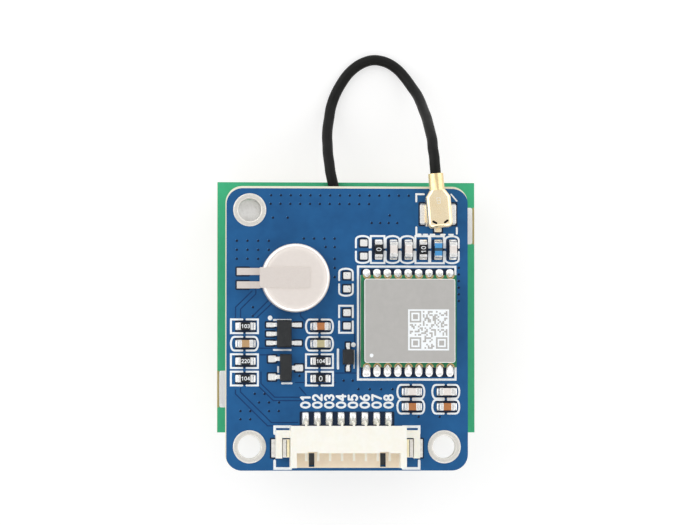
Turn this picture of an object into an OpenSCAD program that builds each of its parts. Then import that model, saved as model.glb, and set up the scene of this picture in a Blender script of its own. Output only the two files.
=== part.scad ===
// GPS module: a main board with its receiver, backup cell, side-entry header and small parts,
// carried on the back of an active ceramic patch antenna that lies face down.
// Origin: on the surface it rests on, under the middle of the two boards together.
// +X runs along the header, +Y away from the header towards the lead, +Z out of the component side.
// Millimetres.

/* [Main board] */
// Width of the main board, along the header
board_w = 25.5; // [25:0.1:32]
// Length of the main board, from the header edge to the lead edge
board_l = 29.9; // [28:0.1:36]
// Thickness of the main board
board_t = 1.6; // [0.8:0.1:2.4]
// Corner radius of the main board
board_corner_r = 1.7; // [0.5:0.1:2.4]
// Diameter of each mounting hole inside its plating
hole_d = 2.4; // [2:0.1:2.8]
// Diameter of the tinned ring around each mounting hole
ring_d = 3.5; // [3.1:0.1:4]
// Distance of each hole's centre from its two nearest edges
hole_inset = 2.5; // [2.2:0.1:3]
// Thickness of the tinned pads and rings
pad_t = 0.05; // [0.03:0.01:0.1]

/* [Receiver] */
// Width of the receiver's own board, along its rows of terminals
receiver_w = 10.1; // [9.8:0.1:11]
// Length of the receiver's own board, between its rows of terminals
receiver_l = 9.7; // [9:0.1:10.4]
// Thickness of the receiver's own board
receiver_t = 0.8; // [0.6:0.1:1.2]
// Receiver centre, right of the main board's centre
receiver_right = 6.45; // [6:0.05:6.8]
// Receiver centre, above the main board's centre
receiver_up = 0.75; // [0.5:0.05:1]
// Terminals in each row
terminal_count = 9; // [5:1:9]
// Distance between terminals
terminal_pitch = 1.1; // [0.9:0.05:1.1]
// Diameter of the half holes in the receiver board's edges
half_hole_d = 0.6; // [0.4:0.05:0.7]
// How far the terminals' pads run out past the receiver board, on average
terminal_reach = 0.84; // [0.6:0.02:1]
// How much further the pads run out on the header side than on average
terminal_offset = 0.17; // [0:0.01:0.2]
// Height of the receiver's shield above its board
shield_h = 1.6; // [1.2:0.1:2.2]
// Sheet thickness of the receiver's shield
shield_wall = 0.15; // [0.1:0.01:0.25]
// Corner radius of the receiver's shield
shield_corner_r = 0.25; // [0.2:0.05:0.8]
// Board left free beside the shield at the ends of the rows
shield_margin_x = 0.28; // [0.2:0.01:0.5]
// Board left free between the shield and the rows of terminals
shield_margin_y = 0.46; // [0.36:0.01:0.7]

/* [Backup cell] */
// Diameter of the backup cell
cell_d = 7.2; // [6:0.1:8]
// Height of the backup cell
cell_h = 2.1; // [1.2:0.1:3]
// Width of the sloping shoulder round the top of the cell
cell_shoulder = 0.28; // [0.1:0.02:0.5]
// Cell centre, left of the main board's centre
cell_left = 5.5; // [5.2:0.1:5.8]
// Cell centre, above the main board's centre
cell_up = 5.25; // [5:0.05:5.5]
// Sheet thickness of the cell's tabs
tab_t = 0.15; // [0.1:0.01:0.25]
// Width of the tabs where they are welded to the cell
tab_w = 2.15; // [1.8:0.05:2.6]
// Width of each tab's leg on the board
leg_w = 0.74; // [0.5:0.02:0.9]
// How far the legs run out past the cell
leg_reach = 2.5; // [1.5:0.1:2.8]
// How far the tabs run in under and over the cell
tab_inlay = 5.1; // [3:0.1:5.5]

/* [Coaxial connector] */
// Connector centre, right of the main board's centre
coax_right = 9.6; // [9.2:0.1:10]
// Connector centre, below the main board's lead edge
coax_inset = 2.9; // [2.6:0.1:3.2]
// Turn of the plug about the socket, in degrees
plug_turn = 5; // [0:1:15]
// Side of the socket's square insulator
socket_side = 2.6; // [2.4:0.1:3]
// Thickness of the socket's insulator
socket_base_t = 0.35; // [0.25:0.05:0.5]
// Outer diameter of the socket's shell
socket_d = 2; // [1.8:0.05:2.1]
// Wall of the socket's shell
socket_wall = 0.15; // [0.1:0.01:0.2]
// Height of the socket's shell above the main board
socket_h = 1.25; // [1.1:0.05:1.4]
// Diameter of the socket's centre pin
socket_pin_d = 0.5; // [0.4:0.05:0.6]
// Width of the plug's cap
plug_w = 2.6; // [2.6:0.05:3]
// Height of the plug's cap above the main board
plug_h = 2.4; // [2.2:0.05:2.8]
// Sheet thickness of the plug's roof
plug_roof_t = 0.25; // [0.15:0.05:0.35]
// Length of the plug, from the socket's centre to the end of its barrel
plug_l = 4.2; // [3.8:0.1:5]
// Diameter of the plug's crimped barrel
barrel_d = 1.6; // [1.4:0.05:1.7]

/* [Lead] */
// Diameter of the coaxial lead
cable_d = 1.13; // [0.8:0.01:1.3]

/* [Header] */
// Number of header pins
pin_count = 8; // [3:1:8]
// Distance between header pins
pin_pitch = 1.25; // [1:0.05:1.25]
// Side of each square header pin
pin_w = 0.25; // [0.2:0.01:0.35]
// Height of the pins' axis above the main board
pin_axis_h = 1.75; // [1.5:0.05:2]
// How far the solder tails run out behind the housing
tail_reach = 1.35; // [1:0.05:1.6]
// Depth of the housing, front to back
header_depth = 4.4; // [4:0.1:5]
// Height of the housing
header_h = 3.4; // [3:0.1:4]
// Gap from the housing's front to the board's edge
header_setback = 0.3; // [0:0.05:0.5]
// Distance from the last pin to the end of the socket
socket_end = 1.05; // [0.8:0.05:1.2]
// Side walls of the housing
header_side_wall = 0.63; // [0.4:0.01:0.8]
// Floor of the housing
header_floor_t = 0.6; // [0.4:0.05:0.8]
// Roof of the housing
header_roof_t = 0.6; // [0.4:0.05:0.8]
// Back wall of the housing, which holds the pins
header_back_wall = 1.2; // [0.8:0.05:1.4]
// How far the roof stands back from the front
roof_setback = 1.55; // [1:0.05:2]
// How far the pins' tips stand back from the front
tip_setback = 0.72; // [0.5:0.02:1.2]
// Width of each ear
ear_w = 1.5; // [1.4:0.05:1.7]
// Length of each ear
ear_l = 2.95; // [2.6:0.05:3.2]
// Height of each ear
ear_h = 2; // [1.6:0.1:2.6]
// Sheet thickness of the solder nails
nail_t = 0.2; // [0.15:0.01:0.25]
// How far each nail's foot stands out past its ear
nail_reach = 0.4; // [0.2:0.05:0.5]

/* [Small parts] */
// Length of a chip part
chip_l = 1.6; // [1.4:0.05:1.8]
// Width of a chip part
chip_w = 0.8; // [0.6:0.05:0.9]
// Height of a chip resistor
resistor_h = 0.45; // [0.3:0.05:0.6]
// Height of a chip capacitor
capacitor_h = 0.8; // [0.5:0.05:0.9]
// Length of a chip resistor's metal ends
chip_end = 0.3; // [0.2:0.02:0.4]
// Length of a chip capacitor's metal ends
capacitor_end = 0.42; // [0.3:0.02:0.5]
// Thickness of a chip part's metal ends over its body
chip_end_t = 0.02; // [0.01:0.01:0.04]
// Length of a chip part's pad
chip_pad_l = 0.74; // [0.6:0.02:0.9]
// Distance between the middles of a chip part's pads
chip_pad_gap = 1.4; // [1.3:0.05:1.6]
// Thickness of the leads of the moulded parts
lead_t = 0.13; // [0.1:0.01:0.18]
// Body length of the regulator and the transistor
moulded_l = 2.9; // [2.7:0.05:3.1]
// Body height of the moulded parts
moulded_h = 1.05; // [0.8:0.05:1.2]
// Distance between the regulator's leads
lead_pitch = 0.95; // [0.8:0.05:1]
// Body width of the regulator
regulator_w = 1.55; // [1.4:0.05:1.7]
// Body width of the transistor
transistor_w = 1.25; // [1.1:0.05:1.4]
// Body width of the diode
diode_w = 1.2; // [1:0.05:1.4]
// Body length of the diode
diode_l = 1.6; // [1.4:0.05:1.8]

/* [Antenna] */
// Width of the antenna board
antenna_w = 27.4; // [26.6:0.1:32]
// Length of the antenna board
antenna_l = 26.6; // [26:0.1:32]
// Thickness of the antenna board
antenna_t = 1; // [0.6:0.1:1.6]
// Antenna centre, right of the main board's centre
antenna_right = 0.2; // [-0.5:0.1:0.5]
// Antenna centre, above the main board's centre
antenna_up = 2.35; // [2:0.05:3]
// Side of the ceramic patch
patch_side = 25; // [22:0.1:26]
// Thickness of the ceramic patch
patch_t = 4; // [2:0.1:6]
// Edge chamfer of the ceramic patch
patch_chamfer = 0.3; // [0.1:0.05:0.6]
// Side of the printed electrode on the patch's face
electrode_side = 21; // [18:0.1:21.5]
// Cut across two corners of the printed electrode
electrode_cut = 2.2; // [1:0.1:4]
// Thickness of the printed electrodes
electrode_t = 0.05; // [0.03:0.01:0.1]
// Diameter of the feed pin
feed_d = 0.9; // [0.6:0.05:1.2]
// Diameter of the feed pin's head
feed_head_d = 2.4; // [1.8:0.1:3]
// Thickness of the feed pin's head, which lies flush in the patch
feed_head_t = 0.3; // [0.2:0.05:0.5]
// Distance of the feed pin from the patch's centre
feed_offset = 1.8; // [1:0.1:3]
// Width of the antenna's shield can
can_w = 23.2; // [21:0.1:23.6]
// Length of the antenna's shield can
can_l = 22.6; // [21:0.1:23.4]
// Height of the antenna's shield can
can_h = 2.5; // [2:0.1:3.5]
// Sheet thickness of the antenna's shield can
can_wall = 0.2; // [0.15:0.01:0.3]
// Corner radius of the antenna's shield can
can_corner_r = 1; // [0.8:0.1:3]
// Length of each tinned edge pad
edge_pad_l = 3.9; // [3:0.1:5]
// Width of each tinned edge pad
edge_pad_w = 1.9; // [1:0.1:2.4]
// Length of the can's tab on each edge pad
can_tab_l = 2; // [1:0.1:2.8]
// How far each of the can's tabs runs out over its edge pad
can_tab_reach = 0.6; // [0.3:0.05:1]
// Distance of each edge pad's middle from the antenna's cross axis
edge_pad_out = 8.7; // [6:0.1:9]
// Side of the adhesive pad
tape_side = 17; // [12:0.5:17.5]
// Thickness of the adhesive pad
tape_t = 0.8; // [0.5:0.1:1.5]

/* [Hidden] */
$fn = 48;

// Overrun of a cut past the face that it opens
cut = 0.1;
// Gap round a part that passes through another without touching it
pass_gap = 0.15;
// Gap of the plug over the socket's shell
mate_gap = 0.05;

// Heights of the stack, from the surface up
patch_z = electrode_t;
ground_z = patch_z + patch_t;
antenna_z = ground_z + electrode_t;
can_z = antenna_z + antenna_t;
tape_z = can_z + can_h;
board_z = tape_z + tape_t;
board_top = board_z + board_t;

// The two boards' reach about the main board's centre, and the origin under the middle of it
reach_left = min(-board_w / 2, antenna_right - antenna_w / 2);
reach_right = max(board_w / 2, antenna_right + antenna_w / 2);
reach_front = min(-board_l / 2, antenna_up - antenna_l / 2);
reach_back = max(board_l / 2, antenna_up + antenna_l / 2);
board_x = -(reach_left + reach_right) / 2;
board_y = -(reach_front + reach_back) / 2;
antenna_x = board_x + antenna_right;
antenna_y = board_y + antenna_up;

// Mounting holes: the corner next to the coaxial connector has none
hole_x = board_w / 2 - hole_inset;
hole_y = board_l / 2 - hole_inset;
hole_places = [[-hole_x, -hole_y], [hole_x, -hole_y], [-hole_x, hole_y]];
drill_d = hole_d + 2 * pad_t;

// Receiver shield and its inside
shield_w = receiver_w - 2 * shield_margin_x;
shield_l = receiver_l - 2 * shield_margin_y;
receiver_chip_side = 5;
receiver_chip_h = 0.85;
oscillator_size = [2, 1.6, 0.7];
filter_size = [1.4, 1.1, 0.5];
inner_gap = 0.6;

// Receiver terminals
terminal_w = 0.76;
terminal_span = (terminal_count - 1) * terminal_pitch;
terminal_under = 0.5;

// Cell and its tabs
cell_base_z = pad_t + tab_t;
cell_fold_x = -cell_d / 2 - tab_t;
leg_end_x = -cell_d / 2 - leg_reach;
leg_gap = tab_w - leg_w;
cell_edge_r = 0.15;

// Coaxial connector
coax_up = board_l / 2 - coax_inset;
socket_tab_w = 1.8;
socket_tab_t = 0.12;
socket_tab_reach = 0.6;
socket_pad_l = 2.25;
signal_w = 0.5;
signal_pad_w = 0.78;
signal_reach = 0.6;
plug_bottom = socket_base_t + socket_tab_t + mate_gap;
plug_front = plug_w / 2 + 0.2;
plug_corner_r = 0.45;
plug_shoulder = 1.7;
neck_y = 2.45;
plug_edge = [0.3, 0.1, 0.22];
barrel_axis_h = plug_h - barrel_d / 2;
contact_wall = 0.18;
contact_d = socket_pin_d + 2 * contact_wall;
vent_place = [0.6, -0.93];
vent_l = 0.34;
vent_d = 0.23;
vent_slant = 30;
crease_r = 1.12;
crease_y = -0.38;
crease_w = 0.07;
crease_t = 0.06;

// Header
header_cavity_w = (pin_count - 1) * pin_pitch + 2 * socket_end;
header_w = header_cavity_w + 2 * header_side_wall;
header_y = -board_l / 2 + header_setback;
tail_drop = 0.12;
tail_pad_w = 0.76;
tail_pad_under = 0.1;
key_slot_w = 0.6;
key_slot_l = 1.45;
key_bar_w = 1.04;
key_bar_t = 0.14;
key_slot_x = (pin_count - 2) * pin_pitch / 2;
ear_front = 1;
ear_wall = 0.65;
ear_web = 0.82;
nail_h = 1.85;
nail_l = 1.9;
nail_gap = 0.06;
nail_leg_up = 0.5;
nail_in = header_w / 2 + nail_gap;
nail_out = header_w / 2 + ear_w - ear_wall - nail_gap;
nail_y = ear_front + 0.1;
nail_foot_end = header_w / 2 + ear_w + nail_reach;

// Moulded parts
mould_draft = 0.12;
lead_foot = 0.42;
lead_stand = 0.12;
regulator_place = [-6.63, -0.6];
transistor_place = [-6.46, -4.17];
diode_place = [0.1, -3.02];
regulator_lead_w = 0.42;
regulator_lead_out = 0.68;
transistor_lead_w = 0.44;
transistor_lead_out = 0.8;
diode_lead_w = 0.32;
diode_lead_out = 0.6;
lead_pad_over = 0.42;
regulator_pad_w = 0.5;
transistor_pad_w = 0.72;
diode_pad_w = 0.42;

// Chip parts: node, height, place on the main board, turn, body colour
row_y = 8.3;
row_x = 1.77;
row_pitch = 1.57;
column_y = 0.2;
column_pitch = 1.83;
left_x = -10.68;
middle_x = -2.79;
corner_x = 6.84;
corner_y = -6.66;
corner_pitch = [3.69, 1.58];
resistor_black = "#1d1d1f";
capacitor_white = "#d9d2cc";
capacitor_orange = "#a8683c";
capacitor_tan = "#9a8468";
inductor_blue = "#3f7fc4";
chips = [
    ["left_resistor_1", resistor_h, [left_x, column_y], 0, resistor_black],
    ["left_capacitor", capacitor_h, [left_x, column_y - column_pitch], 0, capacitor_tan],
    ["left_resistor_2", resistor_h, [left_x, column_y - 2 * column_pitch], 0, resistor_black],
    ["left_resistor_3", resistor_h, [left_x, column_y - 3 * column_pitch], 0, resistor_black],
    ["middle_capacitor_1", capacitor_h, [middle_x, column_y], 0, capacitor_orange],
    ["middle_capacitor_2", capacitor_h, [middle_x, column_y - column_pitch], 0, capacitor_tan],
    ["middle_resistor_1", resistor_h, [middle_x, column_y - 2 * column_pitch], 0, resistor_black],
    ["middle_resistor_2", resistor_h, [middle_x, column_y - 3 * column_pitch], 0, resistor_black],
    ["row_resistor_1", resistor_h, [row_x + row_pitch, row_y], 90, resistor_black],
    ["row_capacitor_1", capacitor_h, [row_x + 2 * row_pitch, row_y], 90, capacitor_white],
    ["row_capacitor_2", capacitor_h, [row_x + 3 * row_pitch, row_y], 90, capacitor_white],
    ["row_resistor_2", resistor_h, [row_x + 4 * row_pitch, row_y], 90, resistor_black],
    ["row_inductor", capacitor_h, [row_x + 5 * row_pitch, row_y], 90, inductor_blue],
    ["row_capacitor_3", capacitor_h, [row_x + 6 * row_pitch, row_y], 90, capacitor_white],
    ["corner_capacitor_1", capacitor_h, [corner_x, corner_y], 0, capacitor_white],
    ["corner_capacitor_2", capacitor_h, [corner_x + corner_pitch[0], corner_y], 0, capacitor_white],
    ["corner_capacitor_3", capacitor_h, [corner_x, corner_y - corner_pitch[1]], 0, capacitor_orange],
    ["corner_capacitor_4", capacitor_h, [corner_x + corner_pitch[0], corner_y - corner_pitch[1]], 0,
        capacitor_orange],
];

// Chip places that are left empty: place on the main board, turn
empty_places = [[[row_x, row_y], 90], [[0, 4.85], 90], [[0, 0.95], 90]];

// Lead: exit through the can's wall, the solder joint behind it, and the route from there
cable_exit_right = -1.2;
cable_exit_h = 0.6;
joint_setback = 0.5;
joint_size = [1.8, 1.4, 1.25];
joint_face_y = antenna_y + can_l / 2 - can_wall - joint_setback;
exit_x = antenna_x + cable_exit_right;
exit_z = can_z + cable_exit_h;
barrel_axis = [-sin(plug_turn), cos(plug_turn)];
barrel_end = [board_x + coax_right, board_y + coax_up] + plug_l * barrel_axis;
barrel_lead_in = 1;
route_points = [
    [-1.3, 14.5, 5.7],
    [-1.5, 15.4, 5.7],
    [-1.7, 16.4, 5.5],
    [-1.8, 17.4, 5.1],
    [-1.9, 18.4, 4.4],
    [-1.9, 19.4, 3.6],
    [-1.9, 20.4, 2.8],
    [-1.8, 21.4, 2.1],
    [-1.6, 22.5, 1.4],
    [-1.4, 23.6, 0.9],
    [-1.0, 24.8, 0.7],
    [-0.4, 26.0, 0.6],
    [0.5, 27.3, 0.6],
    [1.7, 28.3, 0.6],
    [3.1, 28.8, 0.6],
    [4.5, 28.6, 0.6],
    [5.7, 27.9, 0.6],
    [6.6, 26.9, 0.9],
    [7.3, 25.8, 1.6],
    [7.8, 24.9, 2.5],
    [8.1, 24.0, 3.6],
    [8.3, 23.1, 4.9],
    [8.5, 22.2, 6.3],
    [8.6, 21.3, 7.7],
    [8.7, 20.4, 9.0],
    [8.8, 19.5, 10.1],
    [8.8, 18.6, 10.9],
    [8.9, 17.7, 11.4],
];
route = concat(
    [[exit_x, joint_face_y, exit_z], [exit_x, joint_face_y + 1, exit_z]],
    route_points,
    [for (out = [barrel_lead_in, 0])
        concat(barrel_end + out * barrel_axis, [board_top + barrel_axis_h])]
);
cable_sides = 8;

// Rectangle about the origin with true arcs at its corners
module rounded_rectangle(w, l, r) {
    square([w - 2 * r, l], center = true);
    square([w, l - 2 * r], center = true);
    for (x = [-1, 1], y = [-1, 1])
        translate([x * (w / 2 - r), y * (l / 2 - r)]) circle(r);
}

// Box centred on its place in plan, standing on it
module slab(size) {
    translate([-size[0] / 2, -size[1] / 2, 0]) cube(size);
}

// Profile drawn in X and Z, carried along Y and centred on it
module along_y(l) {
    translate([0, l / 2, 0]) rotate([90, 0, 0]) linear_extrude(l) children();
}

// Profile drawn in Y and Z, carried along X and centred on it
module along_x(l) {
    translate([-l / 2, 0, 0]) rotate([90, 0, 90]) linear_extrude(l) children();
}

// Place on the main board's component side, from its centre
module on_board(x, y) {
    translate([board_x + x, board_y + y, board_top]) children();
}

module at_receiver() {
    on_board(receiver_right, receiver_up) children();
}

module at_cell() {
    on_board(-cell_left, cell_up) children();
}

module at_coax() {
    on_board(coax_right, coax_up) children();
}

module at_header() {
    on_board(0, header_y) children();
}

module at_antenna(z) {
    translate([antenna_x, antenna_y, z]) children();
}

module main_board() {
    color("#2c5f96")
    translate([board_x, board_y, board_z])
    difference() {
        linear_extrude(board_t) rounded_rectangle(board_w, board_l, board_corner_r);
        for (place = hole_places)
            translate([place[0], place[1], -cut]) cylinder(d = drill_d, h = board_t + 2 * cut);
    }
}

// Plating of each mounting hole: a thin barrel through the board with a ring on each face
module hole_rings() {
    plated_t = board_t + 2 * pad_t;
    color("silver")
    for (place = hole_places)
        on_board(place[0], place[1]) translate([0, 0, -board_t - pad_t])
            difference() {
                union() {
                    cylinder(d = drill_d, h = plated_t);
                    for (z = [0, board_t + pad_t])
                        translate([0, 0, z]) cylinder(d = ring_d, h = pad_t);
                }
                translate([0, 0, -cut]) cylinder(d = hole_d, h = plated_t + 2 * cut);
            }
}

// Pair of pads under a chip part that lies along X
module chip_pads() {
    for (side = [-1, 1])
        translate([side * chip_pad_gap / 2, 0, 0]) slab([chip_pad_l, chip_w, pad_t]);
}

// Pads under a moulded part's leads, each lead given as [x, y] of its outer end, and how far
// the pads run out past those ends
module lead_pads(ends, pad_w, over) {
    for (end = ends)
        translate([end[0] + sign(end[0]) * (over / 2 - lead_foot / 2), end[1], 0])
            slab([lead_foot + over, pad_w, pad_t]);
}

// Pad of a receiver terminal that faces +Y, with a round outer end, or square at the first terminal
module terminal_pad(reach, first) {
    r = terminal_w / 2;
    straight = first ? reach : reach - r;
    translate([0, (straight - terminal_under) / 2, 0])
        slab([terminal_w, straight + terminal_under, pad_t]);
    if (!first) translate([0, reach - r, 0]) cylinder(r = r, h = pad_t);
}

// How far the terminals run out in the row that faces +Y before this turn
function row_reach(turn) = terminal_reach + (turn == 180 ? terminal_offset : -terminal_offset);

function regulator_ends() = [
    for (row = [-1, 0, 1]) [-regulator_w / 2 - regulator_lead_out, row * lead_pitch],
    for (row = [-1, 1]) [regulator_w / 2 + regulator_lead_out, row * lead_pitch]
];
function transistor_ends() = [
    for (row = [-1, 1]) [-transistor_w / 2 - transistor_lead_out, row * lead_pitch],
    [transistor_w / 2 + transistor_lead_out, 0]
];
function diode_ends() = [for (side = [-1, 1]) [side * (diode_l / 2 + diode_lead_out), 0]];
function terminal_x(i) = i * terminal_pitch - terminal_span / 2;
function pin_x(i) = (i - (pin_count - 1) / 2) * pin_pitch;

module solder_pads() {
    color("silver") {
        for (chip = chips) on_board(chip[2][0], chip[2][1]) rotate(chip[3]) chip_pads();
        for (place = empty_places)
            on_board(place[0][0], place[0][1]) rotate(place[1]) chip_pads();
        on_board(regulator_place[0], regulator_place[1])
            lead_pads(regulator_ends(), regulator_pad_w, lead_pad_over);
        on_board(transistor_place[0], transistor_place[1])
            lead_pads(transistor_ends(), transistor_pad_w, lead_pad_over);
        on_board(diode_place[0], diode_place[1]) rotate(90)
            lead_pads(diode_ends(), diode_pad_w, lead_pad_over / 4);
        at_receiver()
            for (i = [0 : terminal_count - 1], turn = [0, 180])
                rotate(turn) translate([terminal_x(i), receiver_l / 2, 0])
                    terminal_pad(row_reach(turn), turn == 180 && i == terminal_count - 1);
        at_cell()
            for (side = [-1, 1])
                translate([leg_end_x + leg_reach / 4, side * leg_gap / 2, 0])
                    slab([leg_reach / 2, leg_w, pad_t]);
        at_coax() {
            for (side = [-1, 1])
                translate([side * (socket_side + socket_tab_reach) / 2, 0, 0])
                    slab([socket_tab_reach, socket_pad_l, pad_t]);
            translate([0, -(socket_side + signal_reach) / 2, 0])
                slab([signal_pad_w, signal_reach, pad_t]);
        }
        at_header() {
            for (i = [0 : pin_count - 1])
                translate([pin_x(i), header_depth + (tail_reach + tail_pad_under) / 2, 0])
                    slab([tail_pad_w, tail_reach - tail_pad_under, pad_t]);
            for (side = [-1, 1])
                translate([side * (nail_foot_end - nail_reach / 2), nail_y + nail_l / 2, 0])
                    slab([nail_reach, nail_l, pad_t]);
        }
    }
}

module receiver_board() {
    color("#2f7d55")
    at_receiver() translate([0, 0, pad_t])
    difference() {
        slab([receiver_w, receiver_l, receiver_t]);
        for (i = [0 : terminal_count - 1], side = [-1, 1])
            translate([terminal_x(i), side * receiver_l / 2, -cut])
                cylinder(d = half_hole_d, h = receiver_t + 2 * cut);
    }
}

// Solder in one half hole, running out over its pad as a sloping fillet that faces +Y
module terminal_joint(reach) {
    half_hole_r = half_hole_d / 2;
    cylinder(r = half_hole_r, h = receiver_t);
    along_x(half_hole_d * 0.9)
        polygon([
            [0, 0],
            [reach - terminal_w / 4, 0],
            [reach - terminal_w / 4, pad_t],
            [half_hole_r, receiver_t / 3],
            [half_hole_r / 2, receiver_t * 0.9],
            [0, receiver_t * 0.9],
        ]);
}

module receiver_joints() {
    color("#c9c9c4")
    at_receiver() translate([0, 0, pad_t])
    for (i = [0 : terminal_count - 1], turn = [0, 180])
        rotate(turn) translate([terminal_x(i), receiver_l / 2, 0])
            terminal_joint(row_reach(turn));
}

// Open-bottomed can of sheet metal with rounded corners
module sheet_can(w, l, h, wall, r) {
    difference() {
        linear_extrude(h) rounded_rectangle(w, l, r);
        translate([0, 0, -cut])
            linear_extrude(h - wall + cut) rounded_rectangle(w - 2 * wall, l - 2 * wall, r - wall);
    }
}

module receiver_shield() {
    color("#b9b7b4")
    at_receiver() translate([0, 0, pad_t + receiver_t])
        sheet_can(shield_w, shield_l, shield_h, shield_wall, shield_corner_r);
}

module receiver_chip() {
    color("#222226")
    at_receiver() translate([-inner_gap, 0, pad_t + receiver_t])
        slab([receiver_chip_side, receiver_chip_side, receiver_chip_h]);
}

module receiver_oscillator() {
    color("#d8d3c4")
    at_receiver()
        translate([
            receiver_chip_side / 2 + oscillator_size[0] / 2,
            oscillator_size[1] / 2 + inner_gap,
            pad_t + receiver_t,
        ])
            slab(oscillator_size);
}

module receiver_filter() {
    color("#cfc9b8")
    at_receiver()
        translate([
            receiver_chip_side / 2 + oscillator_size[0] / 2,
            -filter_size[1] / 2 - inner_gap,
            pad_t + receiver_t,
        ])
            slab(filter_size);
}

module backup_cell() {
    r = cell_d / 2;
    color("#d5cfca")
    at_cell() translate([0, 0, cell_base_z])
    rotate_extrude()
        polygon([
            [0, 0],
            [r - cell_edge_r, 0],
            [r, cell_edge_r],
            [r, cell_h - cell_shoulder],
            [r - cell_shoulder, cell_h],
            [0, cell_h],
        ]);
}

// Leg of a cell tab, from the cell's side out to its end, on the side of the cell's axis given
module cell_leg(side) {
    length = leg_reach - tab_t;
    translate([leg_end_x + length / 2, side * leg_gap / 2, pad_t]) slab([length, leg_w, tab_t]);
}

module cell_top_tab() {
    top_z = cell_base_z + cell_h;
    color("#d9d9d6")
    at_cell() {
        translate([cell_fold_x + (tab_inlay + tab_t) / 2, 0, top_z])
            slab([tab_inlay + tab_t, tab_w, tab_t]);
        translate([cell_fold_x + tab_t / 2, -leg_gap / 2, pad_t])
            slab([tab_t, leg_w, top_z - pad_t + tab_t]);
        translate([cell_fold_x + tab_t / 2, 0, cell_base_z + cell_h / 2])
            slab([tab_t, tab_w, cell_h / 2 + tab_t]);
        cell_leg(-1);
    }
}

module cell_bottom_tab() {
    color("#d9d9d6")
    at_cell() {
        translate([(tab_inlay - cell_d) / 2 + tab_t / 2, 0, pad_t])
            slab([tab_inlay - tab_t, tab_w, tab_t]);
        translate([-cell_d / 2, leg_gap / 2, pad_t]) slab([4 * tab_t, leg_w, tab_t]);
        cell_leg(1);
    }
}

// Flat tail of the socket's centre pin, in the channel under the insulator
module signal_tail() {
    length = socket_side / 2 + signal_reach;
    translate([0, -length / 2, pad_t]) slab([signal_w, length, socket_tab_t]);
}

module socket_base() {
    color("#e9e4d6")
    at_coax()
    difference() {
        slab([socket_side, socket_side, socket_base_t]);
        translate([0, -socket_side / 4, -cut])
            slab([signal_w, socket_side / 2 + socket_pin_d, pad_t + socket_tab_t + cut]);
        translate([0, 0, -cut]) cylinder(d = socket_pin_d, h = socket_base_t + 2 * cut);
    }
}

// Folded ground tab of the socket's shell, from its foot over the insulator's edge to the shell
module ground_tab() {
    edge = socket_side / 2;
    over = socket_base_t + socket_tab_t;
    along_y(socket_tab_w)
        polygon([
            [edge + socket_tab_reach, pad_t],
            [edge + socket_tab_reach, pad_t + socket_tab_t],
            [edge + socket_tab_t, pad_t + socket_tab_t],
            [edge + socket_tab_t, over],
            [socket_d / 2 - socket_wall, over],
            [socket_d / 2 - socket_wall, socket_base_t],
            [edge, socket_base_t],
            [edge, pad_t],
        ]);
}

module socket_shell() {
    color("#d8b878")
    at_coax()
    difference() {
        union() {
            translate([0, 0, socket_base_t]) cylinder(d = socket_d, h = socket_h - socket_base_t);
            for (turn = [0, 180]) rotate(turn) ground_tab();
        }
        translate([0, 0, socket_base_t - cut])
            cylinder(d = socket_d - 2 * socket_wall, h = socket_h + 2 * cut);
    }
}

module socket_pin() {
    color("#d8b878")
    at_coax() {
        translate([0, 0, pad_t]) cylinder(d = socket_pin_d, h = socket_h - 2 * pad_t);
        signal_tail();
    }
}

// Plan of the plug's cap, drawn in by inset: square front with round corners, shoulders that taper
// to the neck
module plug_plan(inset) {
    w = plug_w / 2 - inset;
    neck = barrel_d / 2 - inset;
    r = plug_corner_r - inset;
    polygon([
        [-w, r - plug_front + inset], [w, r - plug_front + inset], [w, plug_shoulder],
        [neck, neck_y], [-neck, neck_y], [-w, plug_shoulder],
    ]);
    translate([0, r - plug_front + inset]) square([2 * (w - r), 2 * r], center = true);
    for (side = [-1, 1]) translate([side * (w - r), r - plug_front + inset]) circle(r);
}

// Plug's cap: straight sides, then two slopes that round its upper edge
module plug_cap() {
    side_h = plug_h - plug_bottom - plug_edge[0];
    translate([0, 0, plug_bottom]) linear_extrude(side_h) plug_plan(0);
    hull() {
        translate([0, 0, plug_bottom + side_h]) linear_extrude(plug_edge[0] / 2) plug_plan(plug_edge[1]);
        translate([0, 0, plug_bottom + side_h - cut]) linear_extrude(cut) plug_plan(0);
    }
    hull() {
        translate([0, 0, plug_h - cut / 10]) linear_extrude(cut / 10) plug_plan(plug_edge[2]);
        translate([0, 0, plug_bottom + side_h]) linear_extrude(plug_edge[0] / 2) plug_plan(plug_edge[1]);
    }
}

// Plan of the two slanted vents in the plug's roof
module plug_vents() {
    for (side = [0, 1]) mirror([side, 0]) translate(vent_place) rotate(vent_slant) {
        square([vent_l, vent_d], center = true);
        for (end = [-1, 1]) translate([end * vent_l / 2, 0]) circle(d = vent_d);
    }
}

// Plan of the curved crease in front of the vents
module plug_crease() {
    translate([0, crease_y])
    intersection() {
        difference() {
            circle(crease_r + crease_w / 2);
            circle(crease_r - crease_w / 2);
        }
        polygon([[0, 0], [-crease_r, -1.7 * crease_r], [crease_r, -1.7 * crease_r]]);
    }
}

module plug_shell() {
    color("#e0c48c")
    at_coax() rotate(plug_turn)
    difference() {
        union() {
            plug_cap();
            translate([0, plug_l, barrel_axis_h]) rotate([90, 0, 0])
                cylinder(d = barrel_d, h = plug_l - plug_shoulder);
        }
        translate([0, 0, -cut])
            cylinder(d = socket_d + 2 * mate_gap, h = plug_h - plug_roof_t + cut);
        translate([0, 0, plug_h - plug_roof_t - cut])
            linear_extrude(plug_roof_t + 2 * cut) plug_vents();
        translate([0, 0, plug_h - crease_t]) linear_extrude(crease_t + cut) plug_crease();
    }
}

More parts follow.
